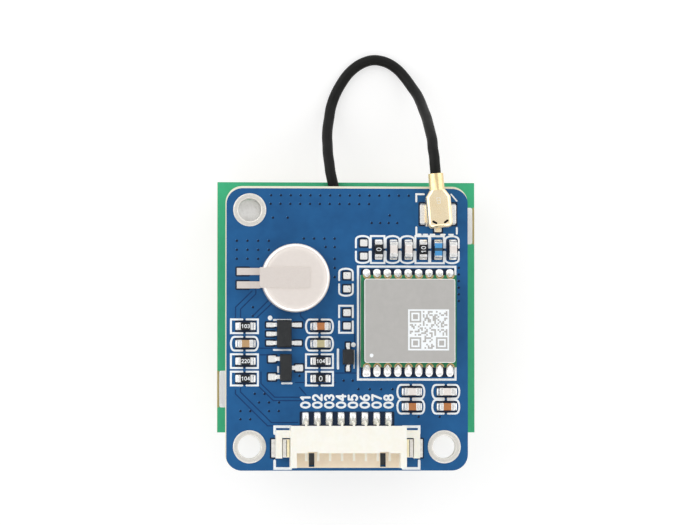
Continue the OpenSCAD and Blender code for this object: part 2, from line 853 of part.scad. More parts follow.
module plug_insulator() {
    bottom = socket_h + mate_gap;
    color("#f0ede4")
    at_coax()
    difference() {
        translate([0, 0, bottom]) cylinder(d = socket_d, h = plug_h - plug_roof_t - bottom);
        translate([0, 0, bottom - cut]) cylinder(d = contact_d, h = plug_h);
    }
}

module plug_contact() {
    bottom = socket_base_t + mate_gap;
    color("#d8b878")
    at_coax()
    difference() {
        translate([0, 0, bottom]) cylinder(d = contact_d, h = plug_h - plug_roof_t - bottom);
        translate([0, 0, bottom - cut])
            cylinder(d = socket_pin_d, h = socket_h - bottom + cut);
    }
}

function unit(v) = v / norm(v);
function route_way(i) =
    unit(route[min(i + 1, len(route) - 1)] - route[max(i - 1, 0)]);
function route_side(i) = unit(cross([0, 0, 1], route_way(i)));
function route_ring(i) = [
    for (k = [0 : cable_sides - 1])
        let (turn = (k + 0.5) * 360 / cable_sides)
        route[i] + cable_d / 2 * (
            cos(turn) * route_side(i) + sin(turn) * cross(route_way(i), route_side(i)))
];

// Round tube along the lead's route, one ring at each of its points
module coax_cable() {
    last = (len(route) - 1) * cable_sides;
    color("#2e2f2c")
    polyhedron(
        points = [for (i = [0 : len(route) - 1]) each route_ring(i)],
        faces = concat(
            [[for (k = [cable_sides - 1 : -1 : 0]) k]],
            [for (i = [0 : len(route) - 2], k = [0 : cable_sides - 1])
                let (a = i * cable_sides, next = (k + 1) % cable_sides)
                [a + k, a + next, a + cable_sides + next, a + cable_sides + k]],
            [[for (k = [0 : cable_sides - 1]) last + k]]
        )
    );
}

// Ear on the housing's right side, with an open slot for the solder nail
module header_ear() {
    difference() {
        translate([header_w / 2 - cut, ear_front, 0]) cube([ear_w + cut, ear_l, ear_h]);
        translate([header_w / 2, ear_front - cut, -cut])
            cube([ear_w - ear_wall, ear_l - ear_web + cut, ear_h + 2 * cut]);
        translate([header_w / 2, nail_y - pass_gap, -cut])
            cube([ear_w + cut, nail_l + 2 * pass_gap, pad_t + nail_t + pass_gap + cut]);
    }
}

module header_housing() {
    cavity_depth = header_depth - header_back_wall;
    color("#f4f1e4")
    at_header()
    difference() {
        union() {
            translate([-header_w / 2, 0, 0]) cube([header_w, header_depth, header_h]);
            for (side = [0, 1]) mirror([side, 0, 0]) header_ear();
        }
        translate([-header_cavity_w / 2, -cut, header_floor_t])
            cube([header_cavity_w, cavity_depth + cut, header_h - header_floor_t - header_roof_t]);
        translate([-header_cavity_w / 2, -cut, header_floor_t])
            cube([header_cavity_w, roof_setback + cut, header_h]);
        for (side = [-1, 1]) {
            translate([side * key_slot_x, roof_setback - key_slot_l / 2, -cut])
                slab([key_slot_w, key_slot_l, header_floor_t + 2 * cut]);
            translate([side * key_slot_x, roof_setback, header_h - header_roof_t - cut])
                slab([key_bar_w, 2 * key_bar_t, header_roof_t + 2 * cut]);
        }
        for (i = [0 : pin_count - 1])
            translate([pin_x(i), header_depth - header_back_wall / 2, pin_axis_h - pin_w / 2])
                slab([pin_w, header_back_wall + 2 * cut, pin_w]);
    }
}

// One pin: tip in the socket, through the back wall, down behind it and out along its pad
module header_pin() {
    back = header_depth + tail_drop;
    along_x(pin_w)
        polygon([
            [tip_setback, pin_axis_h - pin_w / 2],
            [back, pin_axis_h - pin_w / 2],
            [back, pad_t],
            [header_depth + tail_reach, pad_t],
            [header_depth + tail_reach, pad_t + pin_w],
            [back + pin_w, pad_t + pin_w],
            [back + pin_w, pin_axis_h + pin_w / 2],
            [tip_setback, pin_axis_h + pin_w / 2],
        ]);
}

module header_pins() {
    color("#d6d2c4")
    at_header()
    for (i = [0 : pin_count - 1]) translate([pin_x(i), 0, 0]) header_pin();
}

// Nails folded over in their slots, with the outer leg bent out under the ear as a foot
module header_nails() {
    color("#d9d9d6")
    at_header()
    for (side = [0, 1]) mirror([side, 0, 0])
        translate([0, nail_y + nail_l / 2, 0]) along_y(nail_l)
            polygon([
                [nail_in, nail_leg_up],
                [nail_in + nail_t, nail_leg_up],
                [nail_in + nail_t, nail_h - nail_t],
                [nail_out - nail_t, nail_h - nail_t],
                [nail_out - nail_t, pad_t],
                [nail_foot_end, pad_t],
                [nail_foot_end, pad_t + nail_t],
                [nail_out, pad_t + nail_t],
                [nail_out, nail_h],
                [nail_in, nail_h],
            ]);
}

// Section of a moulded body: drafted above and below its parting line
function mould_section(w) = [
    [-w / 2 + mould_draft, 0], [w / 2 - mould_draft, 0], [w / 2, moulded_h / 2],
    [w / 2 - mould_draft, moulded_h], [-w / 2 + mould_draft, moulded_h], [-w / 2, moulded_h / 2],
];

module moulded_body(w, l) {
    translate([0, 0, pad_t + lead_stand])
    intersection() {
        along_y(l) polygon(mould_section(w));
        along_x(w) polygon(mould_section(l));
    }
}

// Gull-wing lead that leaves a body side at X = 0 and ends at X = out
module gull_lead(out, w) {
    shoulder_z = pad_t + lead_stand + moulded_h / 2;
    riser = out - lead_foot;
    along_y(w)
        polygon([
            [0, shoulder_z - lead_t / 2],
            [riser - lead_t, shoulder_z - lead_t / 2],
            [riser - lead_t, pad_t],
            [out, pad_t],
            [out, pad_t + lead_t],
            [riser, pad_t + lead_t],
            [riser, shoulder_z + lead_t / 2],
            [0, shoulder_z + lead_t / 2],
        ]);
}

// Leads of a moulded part, one for each end given as [x, y], from its body of the width given
module gull_leads(ends, body_w, out, w) {
    for (end = ends)
        translate([sign(end[0]) * body_w / 2, end[1], 0])
            rotate(end[0] > 0 ? 0 : 180) gull_lead(out, w);
}

module regulator_body() {
    color("#202022")
    on_board(regulator_place[0], regulator_place[1]) moulded_body(regulator_w, moulded_l);
}

module regulator_leads() {
    color("#d0d0cc")
    on_board(regulator_place[0], regulator_place[1])
        gull_leads(regulator_ends(), regulator_w, regulator_lead_out, regulator_lead_w);
}

module transistor_body() {
    color("#202022")
    on_board(transistor_place[0], transistor_place[1]) moulded_body(transistor_w, moulded_l);
}

module transistor_leads() {
    color("#d0d0cc")
    on_board(transistor_place[0], transistor_place[1])
        gull_leads(transistor_ends(), transistor_w, transistor_lead_out, transistor_lead_w);
}

module diode_body() {
    color("#202022")
    on_board(diode_place[0], diode_place[1]) rotate(90) moulded_body(diode_l, diode_w);
}

module diode_leads() {
    color("#d0d0cc")
    on_board(diode_place[0], diode_place[1]) rotate(90)
        gull_leads(diode_ends(), diode_l, diode_lead_out, diode_lead_w);
}

// Chip part along X: ceramic body between two metal ends that wrap it
module chip_part(h, end_l, body_colour) {
    color(body_colour)
    translate([0, 0, pad_t + chip_end_t])
        slab([chip_l - 2 * chip_end_t, chip_w - 2 * chip_end_t, h - 2 * chip_end_t]);
    color("silver")
    for (side = [-1, 1])
        translate([side * (chip_l - end_l) / 2, 0, pad_t]) slab([end_l, chip_w, h]);
}

module chip(part) {
    end_l = part[4] == resistor_black ? chip_end : capacitor_end;
    on_board(part[2][0], part[2][1]) rotate(part[3]) chip_part(part[1], end_l, part[4]);
}

// Square block with chamfered edges all round
module chamfered_block(side, h, chamfer) {
    section = [
        [-side / 2 + chamfer, 0], [side / 2 - chamfer, 0], [side / 2, chamfer],
        [side / 2, h - chamfer], [side / 2 - chamfer, h], [-side / 2 + chamfer, h],
        [-side / 2, h - chamfer], [-side / 2, chamfer],
    ];
    intersection() {
        along_x(side) polygon(section);
        along_y(side) polygon(section);
    }
}

module at_feed(z) {
    at_antenna(z) translate([0, feed_offset, 0]) children();
}

module ceramic_patch() {
    color("#cdb79c")
    difference() {
        at_antenna(patch_z) chamfered_block(patch_side, patch_t, patch_chamfer);
        at_feed(-cut) cylinder(d = feed_head_d, h = feed_head_t + cut);
        at_feed(-cut) cylinder(d = feed_d, h = ground_z + 2 * cut);
    }
}

// Printed square with two opposite corners cut, and a hole for the feed pin's head
module patch_electrode() {
    half = electrode_side / 2;
    color("#cfcfca")
    difference() {
        at_antenna(0) linear_extrude(electrode_t)
            polygon([
                [-half, -half], [half - electrode_cut, -half], [half, -half + electrode_cut],
                [half, half], [-half + electrode_cut, half], [-half, half - electrode_cut],
            ]);
        at_feed(-cut) cylinder(d = feed_head_d, h = electrode_t + 2 * cut);
    }
}

module ground_electrode() {
    side = patch_side - 2 * patch_chamfer;
    color("#cfcfca")
    difference() {
        at_antenna(ground_z) slab([side, side, electrode_t]);
        at_feed(ground_z - cut) cylinder(d = feed_d + 1.5, h = electrode_t + 2 * cut);
    }
}

module feed_pin() {
    color("#c9c9c4")
    at_feed(0) {
        cylinder(d = feed_head_d, h = feed_head_t);
        cylinder(d = feed_d, h = can_z + can_h / 4);
    }
}

module antenna_board() {
    color("#3fa272")
    difference() {
        at_antenna(antenna_z) slab([antenna_w, antenna_l, antenna_t]);
        at_feed(antenna_z - cut) cylinder(d = feed_d, h = antenna_t + 2 * cut);
    }
}

// Edge pads: one at each side, the same when the antenna is turned half round
edge_pad_margin = 0.2;
edge_pad_x = antenna_w / 2 - edge_pad_margin - edge_pad_w / 2;

module edge_pads() {
    color("silver")
    for (turn = [0, 180])
        at_antenna(can_z) rotate(turn) translate([edge_pad_x, edge_pad_out, 0])
            slab([edge_pad_w, edge_pad_l, pad_t]);
}

module antenna_can() {
    notch_d = cable_d + 2 * pass_gap;
    color("#d4d4d0")
    at_antenna(can_z)
    difference() {
        union() {
            sheet_can(can_w, can_l, can_h, can_wall, can_corner_r);
            for (turn = [0, 180])
                rotate(turn)
                    translate([(can_w + can_tab_reach - can_wall) / 2, edge_pad_out, pad_t])
                        slab([can_tab_reach + can_wall, can_tab_l, can_wall]);
        }
        for (turn = [0, 180])
            rotate(turn) translate([edge_pad_x, edge_pad_out, -cut])
                slab([edge_pad_w, edge_pad_l, pad_t + cut]);
        translate([cable_exit_right, can_l / 2 + cut, cable_exit_h]) rotate([90, 0, 0])
            cylinder(d = notch_d, h = can_wall + 2 * cut);
        translate([cable_exit_right, can_l / 2 - can_wall / 2, -cut])
            slab([notch_d, can_wall + 2 * cut, cable_exit_h + cut]);
    }
}

amplifier_chip_size = [1.6, 1.2, 0.6];
amplifier_gap = 4;

module amplifier_chip() {
    color("#222226")
    at_feed(can_z) translate([-amplifier_gap, 0, 0]) slab(amplifier_chip_size);
}

module amplifier_filter() {
    color("#cfc9b8")
    at_feed(can_z) translate([-amplifier_gap, amplifier_gap, 0]) slab(filter_size);
}

module braid_joint() {
    color("#c9c9c4")
    translate([exit_x, joint_face_y - joint_size[1] / 2, can_z]) slab(joint_size);
}

module adhesive_pad() {
    color("#e8e6df")
    at_antenna(tape_z) slab([tape_side, tape_side, tape_t]);
}

main_board();
hole_rings();
solder_pads();
receiver_board();
receiver_joints();
receiver_shield();
receiver_chip();
receiver_oscillator();
receiver_filter();
backup_cell();
cell_top_tab();
cell_bottom_tab();
socket_base();
socket_shell();
socket_pin();
plug_shell();
plug_insulator();
plug_contact();
coax_cable();
header_housing();
header_pins();
header_nails();
regulator_body();
regulator_leads();
transistor_body();
transistor_leads();
diode_body();
diode_leads();
ceramic_patch();
patch_electrode();
ground_electrode();
feed_pin();
antenna_board();
edge_pads();
antenna_can();
amplifier_chip();
amplifier_filter();
braid_joint();
adhesive_pad();
for (part = chips) chip(part);
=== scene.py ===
"""Looks of a satellite positioning module, dressed over its fixed CAD frame.

The main board lies component side up on the back of its patch antenna, with a short coaxial lead
from the antenna to the board's socket. Every new piece is a surface worked out with numpy from the
frame's own boxes. Lengths are millimetres until a mesh is made. A place on the main board is counted
from a point on its middle line, MainBoard.origin_up above its front edge, with +X to the right and
+Y towards the lead.
"""
import logging
import math
from dataclasses import dataclass, field
from enum import Enum

import bmesh
import bpy
import numpy as np
from mathutils import Matrix, Vector


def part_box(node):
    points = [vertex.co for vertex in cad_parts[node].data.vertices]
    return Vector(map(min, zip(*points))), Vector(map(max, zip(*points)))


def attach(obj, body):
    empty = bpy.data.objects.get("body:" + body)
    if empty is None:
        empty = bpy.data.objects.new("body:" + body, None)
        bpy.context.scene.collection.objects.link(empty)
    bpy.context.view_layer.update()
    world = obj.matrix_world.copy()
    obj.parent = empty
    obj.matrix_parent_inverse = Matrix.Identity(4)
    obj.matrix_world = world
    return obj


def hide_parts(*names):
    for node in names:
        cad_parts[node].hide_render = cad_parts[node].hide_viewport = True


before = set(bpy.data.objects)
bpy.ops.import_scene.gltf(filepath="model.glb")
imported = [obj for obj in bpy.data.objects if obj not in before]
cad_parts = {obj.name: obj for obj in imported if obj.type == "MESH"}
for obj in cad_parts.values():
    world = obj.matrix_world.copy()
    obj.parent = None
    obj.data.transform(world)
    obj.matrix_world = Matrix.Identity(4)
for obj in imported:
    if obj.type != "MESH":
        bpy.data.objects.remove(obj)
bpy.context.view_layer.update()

MM = 0.001
BODY = "root"
log = logging.getLogger("module")

Sections = np.ndarray
Socket = bpy.types.NodeSocket


# Boxes of the frame


@dataclass(frozen=True)
class Box:
    """Axis-aligned box in millimetres."""

    low: np.ndarray
    high: np.ndarray

    @classmethod
    def of(cls, node: str) -> "Box":
        """Box of a whole CAD node."""
        low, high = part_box(node)
        return cls(np.array(low) / MM, np.array(high) / MM)

    @property
    def centre(self) -> np.ndarray:
        """Middle of the box."""
        return (self.low + self.high) / 2

    @property
    def size(self) -> np.ndarray:
        """Width, length and height."""
        return self.high - self.low

    def grown(self, x: float, y: float) -> "Box":
        """The box with its sides moved out in plan."""
        step = np.array([x, y, 0.0])
        return Box(self.low - step, self.high + step)

    def holds(self, place: np.ndarray) -> bool:
        """Whether a place lies inside the box in plan."""
        return bool((self.low[:2] < place[:2]).all() and (place[:2] < self.high[:2]).all())


def first_terminal(boxes: list[Box], plate: Box) -> Box:
    """The leftmost of the boxes in the row in front of a plate's middle."""
    return min(boxes, key=lambda box: (box.centre[1] > plate.centre[1], box.centre[0]))


def solid_boxes(node: str) -> list[Box]:
    """Box of each separate solid in a node.

    Vertices that share a place get one number. Each number then sinks to the lowest number met
    across its triangles until nothing changes, so every solid ends with a number of its own.

    Args:
        node: name of the CAD node.

    Returns:
        One box for each solid.
    """
    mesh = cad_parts[node].data
    points = np.empty(len(mesh.vertices) * 3)
    mesh.vertices.foreach_get("co", points)
    points = points.reshape(-1, 3) / MM
    corners = np.empty(len(mesh.loops), dtype=np.int64)
    mesh.loops.foreach_get("vertex_index", corners)
    _, place = np.unique(np.round(points, 4), axis=0, return_inverse=True)
    triangles = place.ravel()[corners.reshape(-1, 3)]
    mark = np.arange(place.max() + 1)
    settled = False
    while not settled:
        lower = mark.copy()
        np.minimum.at(lower, triangles, mark[triangles].min(axis=1)[:, None])
        settled = bool((lower == mark).all())
        mark = lower
    owner = mark[place.ravel()]
    groups = [points[owner == number] for number in np.unique(owner)]
    return [Box(group.min(axis=0), group.max(axis=0)) for group in groups]


# Surfaces


@dataclass
class Shape:
    """Points, faces and each face's material number, gathered before they become one mesh."""

    points: np.ndarray
    faces: list[tuple[int, ...]]
    paint: list[int]

    def painted(self, number: int) -> "Shape":
        """The same shape with every face in one material."""
        return Shape(self.points, self.faces, [number] * len(self.faces))

    def moved(self, x: float, y: float, z: float = 0.0) -> "Shape":
        """The same shape somewhere else."""
        return Shape(self.points + np.array([x, y, z]), self.faces, self.paint)

    def turned(self, angle: float) -> "Shape":
        """The same shape turned about Z by an angle in degrees."""
        c, s = math.cos(math.radians(angle)), math.sin(math.radians(angle))
        spin = np.array([[c, -s, 0.0], [s, c, 0.0], [0.0, 0.0, 1.0]])
        return Shape(self.points @ spin.T, self.faces, self.paint)

    def banded(self, columns: int, first: int, last: int, number: int) -> "Shape":
        """The same lofted shape with a band of its faces in one material.

        Args:
            columns: faces in a row.
            first: the band's first row.
            last: the row after the band's last.
            number: the material's number.

        Returns:
            The painted shape.
        """
        paint = list(self.paint)
        paint[first * columns : last * columns] = [number] * ((last - first) * columns)
        return Shape(self.points, self.faces, paint)

    @staticmethod
    def joined(shapes: list["Shape"]) -> "Shape":
        """All the shapes as one, with their faces renumbered.

        Args:
            shapes: what is joined.

        Returns:
            The one shape.
        """
        starts = np.cumsum([0] + [len(shape.points) for shape in shapes])
        faces = [
            tuple(int(start) + corner for corner in face)
            for start, shape in zip(starts, shapes)
            for face in shape.faces
        ]
        paint = [number for shape in shapes for number in shape.paint]
        return Shape(np.concatenate([shape.points for shape in shapes]), faces, paint)


def loft(rings: Sections, wrapped: bool = False) -> Shape:
    """Skin over a stack of closed rings.

    Each ring runs right-handed about the way the stack climbs, so the faces point outwards.

    Args:
        rings: points of the rings, as rows by points by 3.
        wrapped: whether the last ring joins the first; otherwise flat faces close both ends.

    Returns:
        The closed skin.
    """
    rows, columns = rings.shape[:2]
    row = np.arange(rows if wrapped else rows - 1)[:, None] * columns
    above = (row + columns) % (rows * columns)
    here = np.arange(columns)[None, :]
    beside = (here + 1) % columns
    quads = np.stack([row + here, row + beside, above + beside, above + here], axis=-1)
    faces = [tuple(quad) for quad in quads.reshape(-1, 4).tolist()]
    if not wrapped:
        faces.append(tuple(range(columns - 1, -1, -1)))
        faces.append(tuple(range((rows - 1) * columns, rows * columns)))
    return Shape(rings.reshape(-1, 3), faces, [0] * len(faces))


def rounded_outline(width: float, length: float, radius: float, steps: int = 4) -> np.ndarray:
    """Rectangle about the origin whose corners are quarter circles, counter-clockwise.

    Args:
        width: size along X.
        length: size along Y.
        radius: corner radius.
        steps: straight pieces in each corner.

    Returns:
        Points of the outline, as n by 2.
    """
    sides = np.array([[1, 1], [-1, 1], [-1, -1], [1, -1]])
    turn = np.linspace(0, np.pi / 2, steps + 1)[None, :] + np.arange(4)[:, None] * np.pi / 2
    middles = sides * (np.array([width, length]) / 2 - radius)
    arcs = middles[:, None, :] + radius * np.stack([np.cos(turn), np.sin(turn)], axis=-1)
    return arcs.reshape(-1, 2)


def flat_ring(outline: np.ndarray, height: float) -> np.ndarray:
    """An outline in plan, lifted to a height."""
    return np.column_stack([outline, np.full(len(outline), height)])


def rounded_slab(
    box: Box, corner: float, edge: float, corner_steps: int = 4, edge_steps: int = 3
) -> Shape:
    """Block with rounded corners and quarter-round edges at its foot and top.

    Up the foot's edge the outline grows by edge times sine of the turn while it rises by edge
    times one less cosine, and at the top the same arc runs backwards.

    Args:
        box: the block's outer box.
        corner: corner radius in plan.
        edge: radius of the foot's and the top's edges.
        corner_steps: straight pieces in each corner.
        edge_steps: straight pieces in each edge.

    Returns:
        The closed block.
    """
    least = 0.004
    turn = np.linspace(0, np.pi / 2, edge_steps + 1)
    inset = edge * (1 - np.sin(turn))
    rise = edge * (1 - np.cos(turn))
    insets = np.concatenate([inset, inset[::-1]])
    heights = np.concatenate([box.low[2] + rise, box.high[2] - rise[::-1]])
    width, length, _ = box.size
    rings = [
        flat_ring(
            rounded_outline(
                width - 2 * step, length - 2 * step, max(corner - step, least), corner_steps
            ),
            height,
        )
        for step, height in zip(insets, heights)
    ]
    return loft(np.stack(rings)).moved(box.centre[0], box.centre[1])


def revolved(profile: np.ndarray, segments: int = 48, closed: bool = False) -> Shape:
    """Profile of radius and height turned about Z.

    Args:
        profile: points as n by 2, upwards on the outside.
        segments: straight pieces round the axis.
        closed: whether the profile is a loop, as on a ring with a hole.

    Returns:
        The closed skin about the Z axis.
    """
    turn = np.linspace(0, 2 * np.pi, segments, endpoint=False)
    radius, height = profile[:, 0][:, None], profile[:, 1][:, None]
    rings = np.stack(
        [radius * np.cos(turn), radius * np.sin(turn), height + 0 * turn], axis=-1
    )
    return loft(rings, wrapped=closed)


def swept(path: np.ndarray, section: np.ndarray, side: np.ndarray) -> Shape:
    """Section carried along a path.

    At each point of the path the way ahead is the difference of its neighbours, the section's
    first axis is the given side made square to it, and its second axis is their cross product.

    Args:
        path: points as n by 3.
        section: closed section as m by 2, counter-clockwise, or one for each point of the path.
        side: direction of the section's first axis, one for the path or one for each point.

    Returns:
        The closed tube or bar.
    """
    way = np.gradient(path, axis=0)
    way /= np.linalg.norm(way, axis=1, keepdims=True)
    across = np.broadcast_to(side, path.shape)
    across = across - way * np.sum(across * way, axis=1, keepdims=True)
    across = across / np.linalg.norm(across, axis=1, keepdims=True)
    lift = np.cross(way, across)
    sections = np.broadcast_to(section, (len(path), *section.shape[-2:]))
    rings = (
        path[:, None, :]
        + sections[:, :, :1] * across[:, None, :]
        + sections[:, :, 1:] * lift[:, None, :]
    )
    return loft(rings)


def smooth_path(points: np.ndarray, steps: int) -> np.ndarray:
    """Smooth cubic curve through points.

    Between two points it is half of twice the first, plus t times the difference of the points on
    either side of the first, plus a quadratic and a cubic term in all four points. Past each end
    a point is added, as far out as the end's neighbour lies in.

    Args:
        points: points to pass through, as n by 3.
        steps: pieces between two points.

    Returns:
        Points along the curve.
    """
    before_first = 2 * points[:1] - points[1:2]
    after_last = 2 * points[-1:] - points[-2:-1]
    padded = np.concatenate([before_first, points, after_last])
    before, first, second, after = (padded[i : len(points) - 1 + i, None] for i in range(4))
    t = np.linspace(0, 1, steps, endpoint=False)[None, :, None]
    curve = 0.5 * (
        2 * first
        + (second - before) * t
        + (2 * before - 5 * first + 4 * second - after) * t**2
        + (3 * first - before - 3 * second + after) * t**3
    )
    return np.concatenate([curve.reshape(-1, points.shape[1]), points[-1:]])


def ridge(
    start: np.ndarray, way: np.ndarray, along: np.ndarray, half: np.ndarray, rise: np.ndarray,
    base: float, fullness: float = 0.7, points: int = 9,
) -> Shape:
    """Lump with a flat foot, such as solder: half-oval sections carried along a straight line.

    A section's point at turn t from 0 to pi lies half times cosine t beside the line and rise
    times sine t, to the power of fullness, above the foot.

    Args:
        start: foot of the line in plan.
        way: unit direction of the line in plan.
        along: distance of each section from the start.
        half: half width of each section.
        rise: height of each section.
        base: height of the foot.
        fullness: 1 for an oval, less for a fuller top.
        points: points in each section.

    Returns:
        The closed lump.
    """
    turn = np.linspace(0, np.pi, points)
    left = np.array([-way[1], way[0]])
    line = start[None, :] + along[:, None] * way[None, :]
    plan = line[:, None, :] + (half[:, None] * np.cos(turn))[..., None] * left
    lift = base + rise[:, None] * np.clip(np.sin(turn), 0, 1) ** fullness
    return loft(np.concatenate([plan, lift[..., None]], axis=-1))


def eased_run(steps: int) -> np.ndarray:
    """Shares of a run from nought to one, close together at its ends: half of one less a cosine."""
    return (1 - np.cos(np.linspace(0, np.pi, steps))) / 2


def oval(share: np.ndarray, power: float) -> np.ndarray:
    """Half width along an oval of a power, from one at its middle to a blunt end.

    It is that root of one less the same power of the distance from the middle, with a least value
    under the root.

    Args:
        share: shares of the oval's run, from nought to one.
        power: two for a plain oval, more for a squarer one.

    Returns:
        The half width at each share.
    """
    least = 0.002
    return np.maximum(1 - np.abs(2 * share - 1) ** power, least) ** (1 / power)


def domed_pad(box: Box, rise: float, squareness: float = 9.0, steps: int = 12) -> Shape:
    """Tinned pad: its plan is an oval of a high power and its top swells to a low dome.

    Args:
        box: the pad's box; its foot is the dome's foot.
        rise: height of the dome.
        squareness: power of the plan's oval.
        steps: sections along the pad.

    Returns:
        The closed dome.
    """
    narrowest = 0.25
    end_rise = 0.45
    share = np.sin(np.linspace(-np.pi / 2, np.pi / 2, steps))
    round_off = np.clip(1 - np.abs(share) ** squareness, 0, 1) ** (1 / squareness)
    half = np.maximum(round_off, narrowest) * box.size[1] / 2
    start = np.array([box.low[0], box.centre[1]])
    along = (share + 1) / 2 * box.size[0]
    dome = rise * (end_rise + (1 - end_rise) * round_off)
    return ridge(start, np.array([1.0, 0.0]), along, half, dome, box.low[2], fullness=0.3)


def stroke(
    path: np.ndarray, width: float, base: float, height: float, closed: bool = False
) -> Shape:
    """Line of ink along a path in plan, a flat-topped ridge with mitred corners and round ends.

    At a corner the two sides' normals are added and divided by one plus their product, which
    keeps the line's width. Past each end the half width falls as the root of one less the
    square of the distance.

    Args:
        path: points as n by 2.
        width: width of the line.
        base: height of its foot.
        height: thickness of the ink.
        closed: whether the path is a loop.

    Returns:
        The closed line.
    """
    flat_share = 0.86
    sharpest = 0.3
    path = np.asarray(path, dtype=float)
    ahead = np.roll(path, -1, axis=0) - path
    if not closed:
        ahead[-1] = ahead[-2]
    ahead /= np.linalg.norm(ahead, axis=1, keepdims=True)
    behind = np.roll(ahead, 1, axis=0)
    if not closed:
        behind[0] = ahead[0]
    normals = [np.column_stack([-way[:, 1], way[:, 0]]) for way in (ahead, behind)]
    product = np.sum(normals[0] * normals[1], axis=1, keepdims=True)
    across = (normals[0] + normals[1]) / np.maximum(1 + product, sharpest)
    if not closed:
        past = np.array([0.97, 0.7, 0.35])[:, None]
        taper = np.sqrt(1 - past**2)
        out = past * width / 2
        path = np.concatenate([path[:1] - out * ahead[:1], path, path[-1:] + out[::-1] * ahead[-1:]])
        across = np.concatenate([taper * across[:1], across, taper[::-1] * across[-1:]])
    spread = np.array([1.0, flat_share, -flat_share, -1.0]) * width / 2
    plan = path[:, None, :] + spread[None, :, None] * across[:, None, :]
    lift = np.broadcast_to(base + np.array([0, height, height, 0]), plan.shape[:2])
    return loft(np.concatenate([plan, lift[..., None]], axis=-1), wrapped=closed)


def arc(
    x: float, y: float, radius_x: float, radius_y: float, start: float, end: float, steps: int = 8
) -> np.ndarray:
    """Part of an oval in plan, between two angles in degrees."""
    turn = np.radians(np.linspace(start, end, steps + 1))
    return np.column_stack([x + radius_x * np.cos(turn), y + radius_y * np.sin(turn)])


# Finishes


def linear(code: str) -> tuple[float, float, float, float]:
    """Linear colour of a screen colour.

    Args:
        code: the screen colour's six figures, such as 2c5f96.

    Returns:
        Red, green, blue and one.
    """
    parts = np.array([int(code[i : i + 2], 16) for i in (0, 2, 4)]) / 255
    value = np.where(parts <= 0.04045, parts / 12.92, ((parts + 0.055) / 1.055) ** 2.4)
    return (*value.tolist(), 1.0)


class Wiring:
    """Short way to add and join the nodes of one tree."""

    def __init__(self, tree: bpy.types.NodeTree) -> None:
        """Keeps the tree."""
        self.tree = tree

    def add(self, kind: str, sockets: dict | None = None, **settings: object) -> bpy.types.Node:
        """Adds a node.

        Args:
            kind: Blender's name of the node type.
            sockets: value, or socket to link from, of each input by its name or number.
            settings: the node's own properties.

        Returns:
            The node.
        """
        node = self.tree.nodes.new(kind)
        for name, value in settings.items():
            setattr(node, name, value)
        for name, value in (sockets or {}).items():
            if isinstance(value, Socket):
                self.tree.links.new(value, node.inputs[name])
            else:
                node.inputs[name].default_value = value
        return node

    def math(self, operation: str, *values: object) -> Socket:
        """Result of a Math node on two or three values or sockets."""
        return self.add("ShaderNodeMath", dict(enumerate(values)), operation=operation).outputs[0]

    def mix(self, factor: object, first: object, second: object) -> Socket:
        """Colour between two colours."""
        sockets = {0: factor, 6: first, 7: second}
        return self.add("ShaderNodeMix", sockets, data_type="RGBA").outputs[2]


class Effect(Enum):
    """Shader effects that several finishes share."""

    MOTTLE = "two_tone_mottle"
    GRAIN = "stretched_grain"
    WEAVE = "glass_weave"
    SPECKS = "scattered_specks"
    MARKS = "fine_marks"
    PLATE = "rounded_plate"


